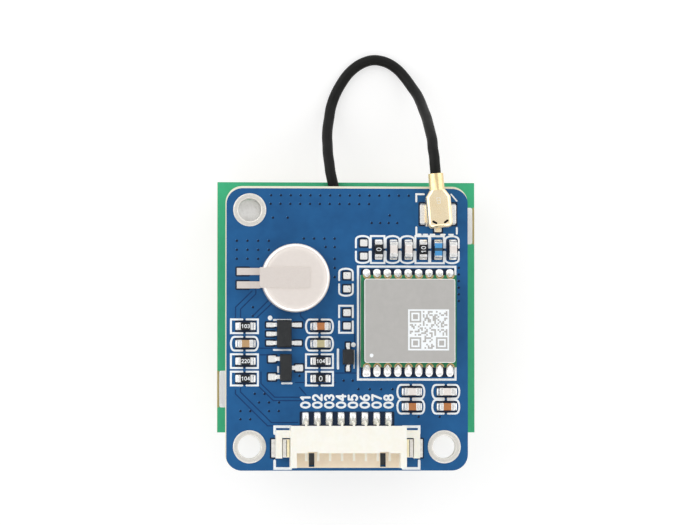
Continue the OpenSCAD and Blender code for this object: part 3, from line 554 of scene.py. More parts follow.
class SharedEffects:
    """Builds each shader effect once, as a node group, and places it in finishes."""

    FLOAT, VECTOR, COLOUR = "NodeSocketFloat", "NodeSocketVector", "NodeSocketColor"

    def __init__(self) -> None:
        """Starts with no groups built."""
        self.groups: dict[Effect, bpy.types.NodeTree] = {}

    def place(self, wiring: Wiring, effect: Effect, sockets: dict) -> bpy.types.Node:
        """Adds an effect's group node to a tree, building the group when it is first asked for.

        Args:
            wiring: tree to add it to.
            effect: which effect.
            sockets: values or sockets for its inputs.

        Returns:
            The group node.
        """
        if effect not in self.groups:
            getattr(self, "_" + effect.name.lower())()
        return wiring.add("ShaderNodeGroup", sockets, node_tree=self.groups[effect])

    def _new(self, effect: Effect, inputs: dict, outputs: dict) -> tuple[Wiring, object, object]:
        """Starts an effect's group with its named sockets.

        Args:
            effect: which effect.
            inputs: kind of each input by its name.
            outputs: kind of each output by its name.

        Returns:
            The group's wiring, the sockets that come in and those that go out.
        """
        tree = bpy.data.node_groups.new(effect.value, "ShaderNodeTree")
        self.groups[effect] = tree
        for way, sockets in (("INPUT", inputs), ("OUTPUT", outputs)):
            for label, kind in sockets.items():
                tree.interface.new_socket(name=label, in_out=way, socket_type=kind)
        wiring = Wiring(tree)
        return wiring, wiring.add("NodeGroupInput").outputs, wiring.add("NodeGroupOutput").inputs

    def _mottle(self) -> None:
        """Two tones mixed by a coarse noise and a finer one, three parts to two."""
        inputs = {"Vector": self.VECTOR, "Scale": self.FLOAT, "Tone": self.COLOUR,
                  "Shade": self.COLOUR, "Spread": self.FLOAT}
        w, given, out = self._new(Effect.MOTTLE, inputs, {"Color": self.COLOUR, "Mask": self.FLOAT})
        coarse = w.add("ShaderNodeTexNoise", {"Vector": given["Vector"], "Scale": given["Scale"],
                                              "Detail": 2.0})
        finer = w.math("MULTIPLY", given["Scale"], 4.7)
        fine = w.add("ShaderNodeTexNoise", {"Vector": given["Vector"], "Scale": finer, "Detail": 3.0})
        both = w.math("MULTIPLY_ADD", fine.outputs[0], 0.4, w.math("MULTIPLY", coarse.outputs[0], 0.6))
        spread = w.add("ShaderNodeMapRange", {"Value": both, "From Min": 0.36, "From Max": 0.64})
        mask = spread.outputs[0]
        colour = w.mix(w.math("MULTIPLY", mask, given["Spread"]), given["Tone"], given["Shade"])
        w.tree.links.new(colour, out["Color"])
        w.tree.links.new(mask, out["Mask"])

    def _grain(self) -> None:
        """Noise on stretched coordinates, so that the grain can be round or drawn out."""
        inputs = {"Vector": self.VECTOR, "Scale": self.FLOAT, "Stretch": self.VECTOR}
        w, given, out = self._new(Effect.GRAIN, inputs, {"Height": self.FLOAT})
        drawn = w.add("ShaderNodeVectorMath", {0: given["Vector"], 1: given["Stretch"]},
                      operation="MULTIPLY")
        noise = w.add("ShaderNodeTexNoise", {"Vector": drawn.outputs[0], "Scale": given["Scale"],
                                             "Detail": 4.0, "Roughness": 0.6})
        w.tree.links.new(noise.outputs[0], out["Height"])

    def _weave(self) -> None:
        """Two sets of sine waves at right angles, added, as glass cloth shows through a coating."""
        inputs = {"Vector": self.VECTOR, "Scale": self.FLOAT}
        w, given, out = self._new(Effect.WEAVE, inputs, {"Height": self.FLOAT})
        waves = [
            w.add("ShaderNodeTexWave", {"Vector": given["Vector"], "Scale": given["Scale"],
                                        "Distortion": 0.6, "Detail": 1.0},
                  bands_direction=axis).outputs[1]
            for axis in ("X", "Y")
        ]
        w.tree.links.new(w.math("MULTIPLY_ADD", waves[0], 0.5, w.math("MULTIPLY", waves[1], 0.5)),
                         out["Height"])

    def _specks(self) -> None:
        """Small round specks: what lies near enough to the points of a scattered pattern."""
        inputs = {"Vector": self.VECTOR, "Scale": self.FLOAT, "Reach": self.FLOAT}
        w, given, out = self._new(Effect.SPECKS, inputs, {"Mask": self.FLOAT})
        cells = w.add("ShaderNodeTexVoronoi", {"Vector": given["Vector"], "Scale": given["Scale"]})
        near = w.math("LESS_THAN", cells.outputs["Distance"], given["Reach"])
        w.tree.links.new(near, out["Mask"])

    def _marks(self) -> None:
        """Thin wandering lines, where a drawn-out noise passes through its middle value."""
        inputs = {"Vector": self.VECTOR, "Scale": self.FLOAT, "Stretch": self.VECTOR,
                  "Width": self.FLOAT}
        w, given, out = self._new(Effect.MARKS, inputs, {"Mask": self.FLOAT})
        drawn = w.add("ShaderNodeVectorMath", {0: given["Vector"], 1: given["Stretch"]},
                      operation="MULTIPLY")
        noise = w.add("ShaderNodeTexNoise", {"Vector": drawn.outputs[0], "Scale": given["Scale"],
                                             "Detail": 1.0, "Distortion": 0.4})
        away = w.math("ABSOLUTE", w.math("SUBTRACT", noise.outputs[0], 0.5))
        w.tree.links.new(w.math("LESS_THAN", away, given["Width"]), out["Mask"])

    def _plate(self) -> None:
        """One inside a rounded rectangle in plan and nought outside it.

        The distance is the length of what stands out past the inner rectangle, less the radius.
        """
        inputs = {"Vector": self.VECTOR, "Centre": self.VECTOR, "Half": self.VECTOR,
                  "Radius": self.FLOAT}
        w, given, out = self._new(Effect.PLATE, inputs, {"Mask": self.FLOAT})
        away = w.add("ShaderNodeVectorMath", {0: given["Vector"], 1: given["Centre"]},
                     operation="SUBTRACT").outputs[0]
        away = w.add("ShaderNodeVectorMath", {0: away}, operation="ABSOLUTE").outputs[0]
        away = w.add("ShaderNodeVectorMath", {0: away, 1: given["Half"]}, operation="SUBTRACT")
        parts = w.add("ShaderNodeSeparateXYZ", {0: away.outputs[0]}).outputs
        beyond = [w.math("MAXIMUM", w.math("ADD", part, given["Radius"]), 0.0) for part in parts[:2]]
        flat = w.add("ShaderNodeCombineXYZ", {0: beyond[0], 1: beyond[1]})
        far = w.add("ShaderNodeVectorMath", {0: flat.outputs[0]}, operation="LENGTH").outputs["Value"]
        w.tree.links.new(w.math("LESS_THAN", far, given["Radius"]), out["Mask"])


EFFECTS = SharedEffects()


class Grain(Enum):
    """How a surface's grain is drawn out along X, Y and Z."""

    ROUND = (1.0, 1.0, 1.0)
    ALONG_X = (0.08, 1.0, 1.0)
    ALONG_Y = (1.0, 0.08, 1.0)
    LAYERED = (0.25, 0.25, 3.0)


@dataclass(frozen=True)
class Finish:
    """One surface finish: two tones, a gloss that varies, and a relief.

    Sizes are millimetres. The second tone shows in patches, marks are thin scratches of the
    second tone, and specks are small spots of the speck colour.
    """

    name: str
    tone: str
    shade: str
    spread: float = 0.6
    patch: float = 1.2
    metallic: float = 0.0
    roughness: float = 0.5
    unevenness: float = 0.1
    grain: Grain = Grain.ROUND
    grain_size: float = 0.08
    grain_depth: float = 0.004
    speck: str = ""
    speck_size: float = 0.2
    speck_reach: float = 0.2
    marks: float = 0.0
    marks_size: float = 1.5
    marks_width: float = 0.012
    marks_stretch: tuple[float, float, float] = (1.0, 0.3, 1.0)
    subsurface: float = 0.0
    subsurface_depth: float = 0.4
    subsurface_reach: tuple[float, float, float] = (1.0, 0.8, 0.55)
    specular: float = 0.5

    def material(self) -> bpy.types.Material:
        """The finish as a material, built the first time it is asked for."""
        label = self.name + "_finish"
        made = bpy.data.materials.get(label)
        if made is None:
            made = bpy.data.materials.new(label)
            made.use_nodes = True
            self._build(Wiring(made.node_tree))
        return made

    def _build(self, w: Wiring) -> None:
        """Adds the finish's nodes to a material.

        Args:
            w: wiring of the material's tree.
        """
        shader = w.tree.nodes["Principled BSDF"]
        where = w.add("ShaderNodeTexCoord").outputs["Object"]
        colour, mask = self._colour(w, where)
        w.tree.links.new(colour, shader.inputs["Base Color"])
        rough = w.math("MULTIPLY_ADD", mask, self.unevenness, self.roughness - self.unevenness / 2)
        w.tree.links.new(rough, shader.inputs["Roughness"])
        height = self._height(w, where)
        bump = w.add("ShaderNodeBump", {"Height": height, "Strength": 1.0,
                                        "Distance": self.grain_depth * MM})
        w.tree.links.new(bump.outputs[0], shader.inputs["Normal"])
        shader.inputs["Metallic"].default_value = self.metallic
        shader.inputs["Specular IOR Level"].default_value = self.specular
        if self.subsurface:
            shader.inputs["Subsurface Weight"].default_value = self.subsurface
            shader.inputs["Subsurface Radius"].default_value = self.subsurface_reach
            shader.inputs["Subsurface Scale"].default_value = self.subsurface_depth * MM

    def _colour(self, w: Wiring, where: Socket) -> tuple[Socket, Socket]:
        """Colour over the surface.

        Args:
            w: wiring of the material's tree.
            where: coordinates on the piece.

        Returns:
            The colour, and the mask that the gloss follows.
        """
        mottle = EFFECTS.place(w, Effect.MOTTLE, {
            "Vector": where, "Scale": 1 / (self.patch * MM), "Tone": linear(self.tone),
            "Shade": linear(self.shade), "Spread": self.spread})
        colour = mottle.outputs["Color"]
        if self.speck:
            specks = EFFECTS.place(w, Effect.SPECKS, {
                "Vector": where, "Scale": 1 / (self.speck_size * MM), "Reach": self.speck_reach})
            colour = w.mix(specks.outputs["Mask"], colour, linear(self.speck))
        if self.marks:
            lines = EFFECTS.place(w, Effect.MARKS, {
                "Vector": where, "Scale": 1 / (self.marks_size * MM),
                "Stretch": self.marks_stretch, "Width": self.marks_width})
            colour = w.mix(w.math("MULTIPLY", lines.outputs["Mask"], self.marks), colour,
                           linear(self.shade))
        return colour, mottle.outputs["Mask"]

    def _height(self, w: Wiring, where: Socket) -> Socket:
        """Height of the relief over the surface."""
        grain = EFFECTS.place(w, Effect.GRAIN, {
            "Vector": where, "Scale": 1 / (self.grain_size * MM), "Stretch": self.grain.value})
        return grain.outputs["Height"]


@dataclass(frozen=True)
class MaskFinish(Finish):
    """Coating of a circuit board, over glass cloth, that stops short of the board's edge.

    The coated plate is the board's own outline moved in plan, so bare laminate shows along the
    edges that it moves away from. A thread of the cloth is half a wave, and half_wave is the
    length of that in a wave texture of scale one.
    """

    plate: str = "main_board"
    corner: float = 1.7
    shift: tuple[float, float] = (0.0, 0.0)
    bare: str = "f1ecd8"
    weave: float = 0.55
    grain_share: float = 0.5
    half_wave: float = 0.157

    def _colour(self, w: Wiring, where: Socket) -> tuple[Socket, Socket]:
        """Coating inside the moved plate and laminate outside it."""
        colour, mask = super()._colour(w, where)
        box = Box.of(self.plate)
        centre = (box.centre + np.array([*self.shift, 0.0])) * MM
        coated = EFFECTS.place(w, Effect.PLATE, {
            "Vector": where, "Centre": tuple(centre), "Half": tuple(box.size / 2 * MM),
            "Radius": self.corner * MM})
        return w.mix(coated.outputs["Mask"], linear(self.bare), colour), mask

    def _height(self, w: Wiring, where: Socket) -> Socket:
        """Grain of the coating over the cloth's weave."""
        cloth = EFFECTS.place(w, Effect.WEAVE, {
            "Vector": where, "Scale": self.half_wave / (self.weave * MM)})
        grain = super()._height(w, where)
        return w.math("MULTIPLY_ADD", grain, self.grain_share, cloth.outputs["Height"])


BLUE_MASK = MaskFinish("blue_mask", "235f95", "1a4e80", spread=0.7, patch=5.0, roughness=0.36,
                       unevenness=0.08, grain_size=0.25, grain_depth=0.0025, specular=0.2,
                       shift=(0.06, -0.22))
# Darker blue round pads and parts: copper clearings, darkened further as painted shade.
BLUE_CLEARING_SHADE = Finish("blue_clearing_and_shade", "15243a", "1c304b", patch=1.0, roughness=0.4, grain_size=0.3,
                   grain_depth=0.002, specular=0.2)
BLUE_TRACE = Finish("blue_trace", "153f70", "10355f", patch=2.0, roughness=0.38, grain_depth=0.002,
                    specular=0.2)
VIA_DARK = Finish("via_dimple", "06152b", "0b1f3c", patch=0.15, roughness=0.4, grain_depth=0.002,
                  specular=0.2)
# Pale spot beside each via: painted glint.
VIA_GLINT = Finish("via_glint", "4f86bd", "3f75ab", patch=0.3, roughness=0.35, grain_depth=0.002,
                   specular=0.3)
LAMINATE = Finish("laminate_edge", "e6dec3", "d3c8a4", patch=0.3, roughness=0.7,
                  grain=Grain.LAYERED, grain_size=0.12, grain_depth=0.012)
SILK = Finish("white_ink", "fbfeff", "eef5fb", patch=0.4, roughness=0.62, grain_size=0.06,
              grain_depth=0.006)
TINNED = Finish("tinned_copper", "fafaf8", "dcdbd8", patch=0.35, metallic=0.6, roughness=0.34,
                unevenness=0.2, grain_size=0.16, grain_depth=0.012)
RING_TIN = Finish("ring_tin", "e6e3dc", "c3c0ba", patch=0.5, metallic=0.8, roughness=0.34,
                  unevenness=0.2, grain_size=0.2, grain_depth=0.01)
# Tin of the chip ends; its dark patches are painted reflections.
CHIP_END = Finish("chip_end_tin_and_reflections", "fafaf9", "b0aeab", spread=0.75, patch=0.22, metallic=0.7,
                  roughness=0.3, unevenness=0.2, grain_size=0.12, grain_depth=0.014)
SOLDER = Finish("bright_solder", "fbfbfa", "d6d4d2", patch=0.25, metallic=0.7, roughness=0.24,
                unevenness=0.2, grain_size=0.2, grain_depth=0.014)
GREEN_MASK = MaskFinish("green_mask", "49c18b", "3fb07b", spread=0.5, patch=5.0, roughness=0.38,
                        unevenness=0.08, grain_size=0.25, grain_depth=0.0025, specular=0.25,
                        plate="antenna_board", corner=0.05, bare="c9c08a")
RECEIVER_MASK = Finish("receiver_mask", "358a5f", "2a7650", patch=1.2, roughness=0.38,
                       grain_size=0.2, grain_depth=0.003, specular=0.25)
NICKEL = Finish("shield_nickel", "b7b5b2", "aeaca9", patch=2.5, metallic=0.55, roughness=0.48,
                unevenness=0.05, grain_size=0.05, grain_depth=0.002, marks=0.1, marks_size=3.0)
# Shield walls in a darker tone of the same nickel: painted shade.
NICKEL_SHADED_SIDE = Finish("shield_shaded_side", "9b9996", "858381", patch=1.2, metallic=0.9, roughness=0.34,
                     grain=Grain.ALONG_X, grain_size=0.05, grain_depth=0.003)
# Near-white rounded edges of the shield: painted highlight.
NICKEL_HIGHLIGHT = Finish("shield_painted_highlight", "fbfaf8", "eae8e5", patch=1.5, metallic=0.7, roughness=0.36,
                    grain_size=0.08, grain_depth=0.003)
CELL = Finish("cell_nickel", "e3dbd5", "d9d1cb", patch=2.2, metallic=0.7, roughness=0.46,
              unevenness=0.08, grain_size=0.05, grain_depth=0.002, marks=0.12, marks_size=2.5)
# Near-white rows on the cell's shoulder: painted highlight.
CELL_HIGHLIGHT = Finish("cell_painted_highlight", "fffaf6", "f1eae4", patch=1.0, metallic=0.6, roughness=0.4,
                  grain_size=0.05, grain_depth=0.002)
TAB = Finish("tab_nickel", "dcd4ce", "d3cac4", patch=0.9, metallic=0.6, roughness=0.44,
             unevenness=0.1, grain=Grain.ALONG_X, grain_size=0.06, grain_depth=0.002)
GOLD = Finish("gold_plate", "ffeecb", "f6dfb4", patch=0.8, metallic=1.0, roughness=0.26,
              unevenness=0.04, grain_size=0.14, grain_depth=0.0012)
GOLD_CRIMP = Finish("crimp_gold", "f2dbab", "dcc08a", patch=0.4, metallic=1.0, roughness=0.28,
                    unevenness=0.04, grain_size=0.14, grain_depth=0.0012)
PIN_TIN = Finish("pin_tin", "fffef4", "faf5e6", patch=0.5, metallic=0.05, roughness=0.36,
                 grain=Grain.ALONG_Y, grain_size=0.06, grain_depth=0.003)
LEAF_TIN = Finish("nail_leaf", "fdf3cf", "efe2b6", patch=0.4, metallic=0.3, roughness=0.36,
                  grain=Grain.ALONG_Y, grain_size=0.06, grain_depth=0.003)
NAIL_TIN = Finish("nail_tin", "f4f2ee", "c9c6c1", patch=0.3, metallic=0.4, roughness=0.36,
                  grain=Grain.ALONG_Y, grain_size=0.06, grain_depth=0.004)
# Grey painted shade: the patch under the header and the line in each nail's fold.
UNDER_SHADE = Finish("painted_shade_grey", "40454e", "363b44", patch=1.0, roughness=0.5)
# Near-black painted shade: a slab inside the plug, under its vents.
VENT_SHADE = Finish("painted_vent_shade", "0c0b0a", "141210", patch=0.5, roughness=0.8)
HOLE_GOLD = Finish("half_hole_gold", "dfbd8b", "cda56c", patch=0.3, metallic=1.0, roughness=0.36,
                   grain_size=0.1, grain_depth=0.006)
EPOXY = Finish("moulded_epoxy", "26282a", "1d1f21", patch=0.5, roughness=0.58, grain_size=0.035,
               grain_depth=0.006, speck="3c3f40", speck_size=0.09, speck_reach=0.1, specular=0.3)
GLAZE = Finish("resistor_glaze", "18191a", "242425", patch=0.3, roughness=0.38, grain_size=0.1,
               grain_depth=0.003, specular=0.3)
WHITE_CERAMIC = Finish("pale_ceramic", "efe8e3", "e3dad5", patch=0.4, roughness=0.5,
                       grain_size=0.05, grain_depth=0.005)
ORANGE_CERAMIC = Finish("orange_ceramic", "b87743", "a66433", patch=0.3, roughness=0.5,
                        grain_size=0.05, grain_depth=0.005)
TAN_CERAMIC = Finish("tan_ceramic", "bf9b6e", "ac875b", patch=0.3, roughness=0.5, grain_size=0.05,
                     grain_depth=0.005)
SAND_CERAMIC = Finish("sand_ceramic", "bfb58d", "b0a57d", patch=0.3, roughness=0.5,
                      grain_size=0.05, grain_depth=0.005)
BLUE_CERAMIC = Finish("blue_ceramic", "4c9fdb", "3a89c8", patch=0.3, roughness=0.4,
                      grain_size=0.06, grain_depth=0.004)
BAND_DARK = Finish("inductor_band", "2d4a5c", "243c4b", patch=0.2, roughness=0.5)
NYLON = Finish("ivory_nylon", "fcfaf1", "f6f2e4", patch=1.6, roughness=0.52, unevenness=0.08,
               grain_size=0.06, grain_depth=0.004, subsurface=0.25)
# A warmer tint of the same nylon, as painted shade on the floor of the housing's recess.
NYLON_SHADED = Finish("shaded_nylon_tint", "fdeed9", "f6e3cb", patch=1.6, roughness=0.55, grain_size=0.06,
                     grain_depth=0.004, subsurface=0.2)
JACKET = Finish("lead_jacket", "161615", "0f0f0e", patch=1.0, roughness=0.46, unevenness=0.14,
                grain_size=0.12, grain_depth=0.008, specular=0.14)
INSULATOR = Finish("white_insulator", "efebe0", "e2dccb", patch=0.6, roughness=0.5)
PATCH_CERAMIC = Finish("patch_ceramic", "d3bf9f", "c6b08d", patch=2.5, roughness=0.52,
                       grain_size=0.1, grain_depth=0.01, speck="b39d7b", speck_size=0.35,
                       speck_reach=0.13)
SILVER_PRINT = Finish("silver_print", "dcdad3", "c6c3ba", patch=1.8, metallic=0.8, roughness=0.44,
                      unevenness=0.12, grain_size=0.08, grain_depth=0.006, marks=0.2)
# The can's top is near-white as painted light for its place in shade under the holes; its scratches are
# real.
CAN_TOP_LIT = Finish("can_tin", "fdfcfa", "e2e0dc", patch=1.0, metallic=0.85, roughness=0.34,
                 unevenness=0.16, grain=Grain.ALONG_Y, grain_size=0.1, grain_depth=0.006,
                 marks=0.6, marks_size=0.6)
# The can's walls in a darker tone of the same tin: painted shade.
CAN_SHADED_SIDE = Finish("can_shaded_side", "bfbeba", "adaba6", patch=3.5, metallic=0.95, roughness=0.28,
                  unevenness=0.08, grain=Grain.ALONG_X, grain_size=0.1, grain_depth=0.0015,
                  marks=0.25, marks_size=2.2)
FOAM = Finish("white_foam", "e9e7df", "d9d6cb", patch=0.3, roughness=0.85, grain_size=0.1,
              grain_depth=0.06, speck="c4c0b3", speck_size=0.14, speck_reach=0.22)
EDGE_TIN = Finish("edge_tin", "fefefb", "f6f6f2", patch=0.6, metallic=0.1, roughness=0.5,
                  unevenness=0.15, grain_size=0.16, grain_depth=0.01)
EDGE_GILT = Finish("edge_gilt", "bfae76", "a8965f", patch=0.8, metallic=0.4, roughness=0.5)


# Pieces


# For copies of CAD solids: the reach within which points merge, and angles in degrees.
MERGE_REACH = 0.0002
FLAT_TURN = 0.6
ROUNDED_TURN = 28.0
COPY_SHARP = 30.0


def add_piece(
    name: str, shapes: list[Shape], finishes: list[Finish],
    replaced: tuple[str, ...] = (), sharp: float = 38.0,
) -> bpy.types.Object:
    """Makes shapes into one smooth-shaded piece.

    Args:
        name: the piece's name.
        shapes: what it is made of.
        finishes: the finishes that the faces' material numbers count in.
        replaced: CAD nodes that it stands for.
        sharp: edges that turn more than this many degrees stay sharp.

    Returns:
        The piece.
    """
    shape = Shape.joined(shapes)
    mesh = bpy.data.meshes.new(name)
    mesh.from_pydata((shape.points * MM).tolist(), [], shape.faces)
    mesh.polygons.foreach_set("material_index", shape.paint)
    return _link(name, mesh, finishes, replaced, sharp)


def _link(
    name: str, mesh: bpy.types.Mesh, finishes: list[Finish], replaced: tuple[str, ...],
    sharp: float,
) -> bpy.types.Object:
    """Dresses a mesh and makes it a piece of the module.

    Args:
        name: the piece's name.
        mesh: its mesh, whose faces have their material numbers.
        finishes: the finishes that those numbers count in.
        replaced: CAD nodes that it stands for.
        sharp: edges that turn more than this many degrees stay sharp.

    Returns:
        The piece.
    """
    for finish in finishes:
        mesh.materials.append(finish.material())
    mesh.shade_smooth()
    mesh.set_sharp_from_angle(angle=math.radians(sharp))
    mesh.update()
    piece = bpy.data.objects.new(name, mesh)
    bpy.context.scene.collection.objects.link(piece)
    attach(piece, BODY)
    if replaced:
        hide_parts(*replaced)
    log.info("%s: %d faces", piece.name, len(mesh.polygons))
    return piece


class Paint(Enum):
    """Which faces of a copied solid take the second finish."""

    NONE = 0
    WALLS = 1
    DEEP_FLOOR = 2
    FAR_END = 3


def _marked_faces(mesh: bpy.types.Mesh, paint: Paint) -> np.ndarray:
    """One for each face that takes the second finish and nought for the rest.

    Walls are the faces whose normals rise or fall by less than half their length. A deep floor
    faces up and lies in the lowest third of the mesh. The far end is the last third along Y.

    Args:
        mesh: the copied solid.
        paint: which faces are meant.

    Returns:
        The material number of each face.
    """
    normals = np.empty(len(mesh.polygons) * 3)
    mesh.polygons.foreach_get("normal", normals)
    upward = normals.reshape(-1, 3)[:, 2]
    middles = np.empty(len(mesh.polygons) * 3)
    mesh.polygons.foreach_get("center", middles)
    middles = middles.reshape(-1, 3)
    least = 0.001 * MM
    level, first_third, last_third = 0.5, 0.33, 0.67
    share = (middles - middles.min(axis=0)) / np.maximum(np.ptp(middles, axis=0), least)
    choices = {
        Paint.NONE: np.zeros(len(upward), dtype=bool),
        Paint.WALLS: np.abs(upward) < level,
        Paint.DEEP_FLOOR: (upward > level) & (share[:, 2] < first_third),
        Paint.FAR_END: share[:, 1] > last_third,
    }
    return choices[paint].astype(np.int32)


def _round_crest(work: bmesh.types.BMesh, width: float) -> None:
    """Rounds the edges at the very top that border a slope.

    Args:
        work: the solid.
        width: width of the rounding.
    """
    steepest, gentlest = 0.4, 0.85
    top = max(corner.co.z for corner in work.verts) - 0.001 * MM
    crest = [
        side for side in work.edges
        if all(corner.co.z > top for corner in side.verts)
        and any(steepest < face.normal.z < gentlest for face in side.link_faces)
    ]
    bmesh.ops.bevel(work, geom=crest, offset=width * MM, segments=4, profile=0.5, affect="EDGES")


def soft_copy(
    node: str, name: str, finishes: list[Finish], edge: float = 0.0, segments: int = 2,
    paint: Paint = Paint.NONE, crest: float = 0.0, rim: int = -1,
) -> bpy.types.Object:
    """Copy of a CAD node with merged points, joined flat faces and rounded edges.

    Args:
        node: the CAD node, which the copy stands for.
        name: the copy's name.
        finishes: its finishes; the second one is for the faces that paint names.
        edge: width of the rounding, or nought for none.
        segments: pieces in the rounding.
        paint: which faces take the second finish.
        crest: width of a further rounding where a slope meets the top, or nought for none.
        rim: number of the finish of the rounded edges, or -1 for that of the faces beside them.

    Returns:
        The piece.
    """
    work = bmesh.new()
    work.from_mesh(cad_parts[node].data)
    bmesh.ops.remove_doubles(work, verts=work.verts, dist=MERGE_REACH * MM)
    bmesh.ops.dissolve_limit(work, angle_limit=math.radians(FLAT_TURN), verts=work.verts,
                             edges=work.edges)
    if crest:
        _round_crest(work, crest)
    mesh = bpy.data.meshes.new(name)
    work.to_mesh(mesh)
    work.free()
    mesh.materials.clear()
    mesh.polygons.foreach_set("material_index", _marked_faces(mesh, paint))
    piece = _link(name, mesh, finishes, (node,), COPY_SHARP)
    if edge:
        soft = piece.modifiers.new("soft_edges", "BEVEL")
        soft.width = edge * MM
        soft.segments = segments
        soft.limit_method = "ANGLE"
        soft.angle_limit = math.radians(ROUNDED_TURN)
        soft.harden_normals = True
        soft.material = rim
    return piece


def dress(node: str, finish: Finish) -> None:
    """Gives a CAD node that stays shown its finish.

    Args:
        node: the CAD node.
        finish: its finish.
    """
    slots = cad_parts[node].data.materials
    if slots:
        slots[0] = finish.material()
    else:
        slots.append(finish.material())
    log.info("%s keeps its solid", node)


# Main board


Strokes = list[tuple[np.ndarray, bool]]
DIGITS: dict[str, Strokes] = {
    "0": [(arc(0.3, 0.5, 0.3, 0.5, 90, 450, 16)[:-1], True)],
    "1": [(np.array([[0.08, 0.78], [0.32, 1.0]]), False),
          (np.array([[0.32, 1.0], [0.32, 0.0]]), False)],
    "2": [(np.concatenate([arc(0.3, 0.72, 0.28, 0.28, 165, -35), [[0.02, 0.0]]]), False),
          (np.array([[0.02, 0.0], [0.6, 0.0]]), False)],
    "3": [(arc(0.28, 0.75, 0.26, 0.25, 150, -90), False),
          (arc(0.28, 0.25, 0.3, 0.25, 90, -150), False)],
    "4": [(np.array([[0.46, 0.0], [0.46, 1.0]]), False),
          (np.array([[0.46, 1.0], [0.0, 0.3]]), False),
          (np.array([[0.0, 0.3], [0.62, 0.3]]), False)],
    "5": [(np.array([[0.54, 1.0], [0.1, 1.0]]), False),
          (np.array([[0.1, 1.0], [0.06, 0.54]]), False),
          (arc(0.28, 0.32, 0.3, 0.32, 135, -145), False)],
    "6": [(arc(0.5, 0.32, 0.48, 0.68, 100, 172, 6), False),
          (arc(0.3, 0.3, 0.28, 0.3, 0, 360, 14)[:-1], True)],
    "7": [(np.array([[0.02, 1.0], [0.6, 1.0]]), False), (np.array([[0.6, 1.0], [0.2, 0.0]]), False)],
    "8": [(arc(0.3, 0.76, 0.24, 0.24, -90, 270, 12)[:-1], True),
          (arc(0.3, 0.26, 0.29, 0.26, 90, 450, 14)[:-1], True)],
}


@dataclass
class Print:
    """Ink on a flat top: lines, dots, brackets and plain numbers.

    Lines lie at one of a few heights in turn, so that they stay clean where they cross.
    """

    base: float
    width: float = 0.205
    height: float = 0.02
    heights: int = 7
    height_step: float = 0.06
    figure_width: float = 0.6
    figure_step: float = 0.86
    marks: list[Shape] = field(default_factory=list)

    def line(self, *points: tuple[float, float], width: float = 0.0, closed: bool = False) -> None:
        """Adds a line through points."""
        self.path(np.array(points, dtype=float), width, closed)

    def path(self, points: np.ndarray, width: float = 0.0, closed: bool = False) -> None:
        """Adds a line along an array of points."""
        lift = self.height * (1 + self.height_step * (len(self.marks) % self.heights))
        self.marks.append(stroke(points, width or self.width, self.base, lift, closed))

    def dot(self, x: float, y: float, radius: float) -> None:
        """Adds a round spot with a rounded rim."""
        profile = np.array([[1.0, 0.0], [0.97, 0.6], [0.88, 1.0]]) * [radius, self.height]
        self.marks.append(revolved(profile, 20).moved(x, y, self.base))

    def box(self, low: np.ndarray, high: np.ndarray, width: float = 0.0) -> None:
        """Adds a closed rectangle."""
        corners = (tuple(low), (high[0], low[1]), tuple(high), (low[0], high[1]))
        self.line(*corners, width=width, closed=True)

    def brackets(self, centre: np.ndarray, half: tuple[float, float], gap: float, bowed: bool,
                 upright: bool) -> None:
        """Adds the pair of brackets round a chip part, bowed at their ends for a capacitor.

        Args:
            centre: the part's middle.
            half: half length and half width of the outline.
            gap: half of the gap in the middle of the long sides.
            bowed: whether the ends are rounded.
            upright: whether the part lies along Y.
        """
        a, b = half
        if bowed:
            upper = np.array([[a - 0.4, b], [a - 0.24, b - 0.04], [a - 0.13, b - 0.15],
                              [a - 0.04, 0.36], [a, 0.12]])
            end = np.concatenate([upper, upper[::-1] * [1, -1]])
        else:
            end = np.array([[a, b], [a, -b]])
        half_path = np.concatenate([[[gap, b]], end, [[gap, -b]]])
        for side in (1.0, -1.0):
            path = half_path * side
            if upright:
                path = np.column_stack([-path[:, 1], path[:, 0]])
            self.path(path + centre[:2])

    def number(self, text: str, x: float, y: float, size: float, turn: float, width: float) -> None:
        """Adds plain figures.

        Args:
            text: the figures.
            x: middle of the figures along X.
            y: middle of the figures along Y.
            size: their height.
            turn: angle that they are turned by, in degrees.
            width: width of the line.
        """
        run = self.figure_step * (len(text) - 1) + self.figure_width
        spin = math.radians(turn)
        basis = np.array([[math.cos(spin), math.sin(spin)], [-math.sin(spin), math.cos(spin)]])
        for place, figure in enumerate(text):
            for points, closed in DIGITS[figure]:
                local = (points + [place * self.figure_step - run / 2, -0.5]) * size
                self.path(local @ basis + [x, y], width, closed)


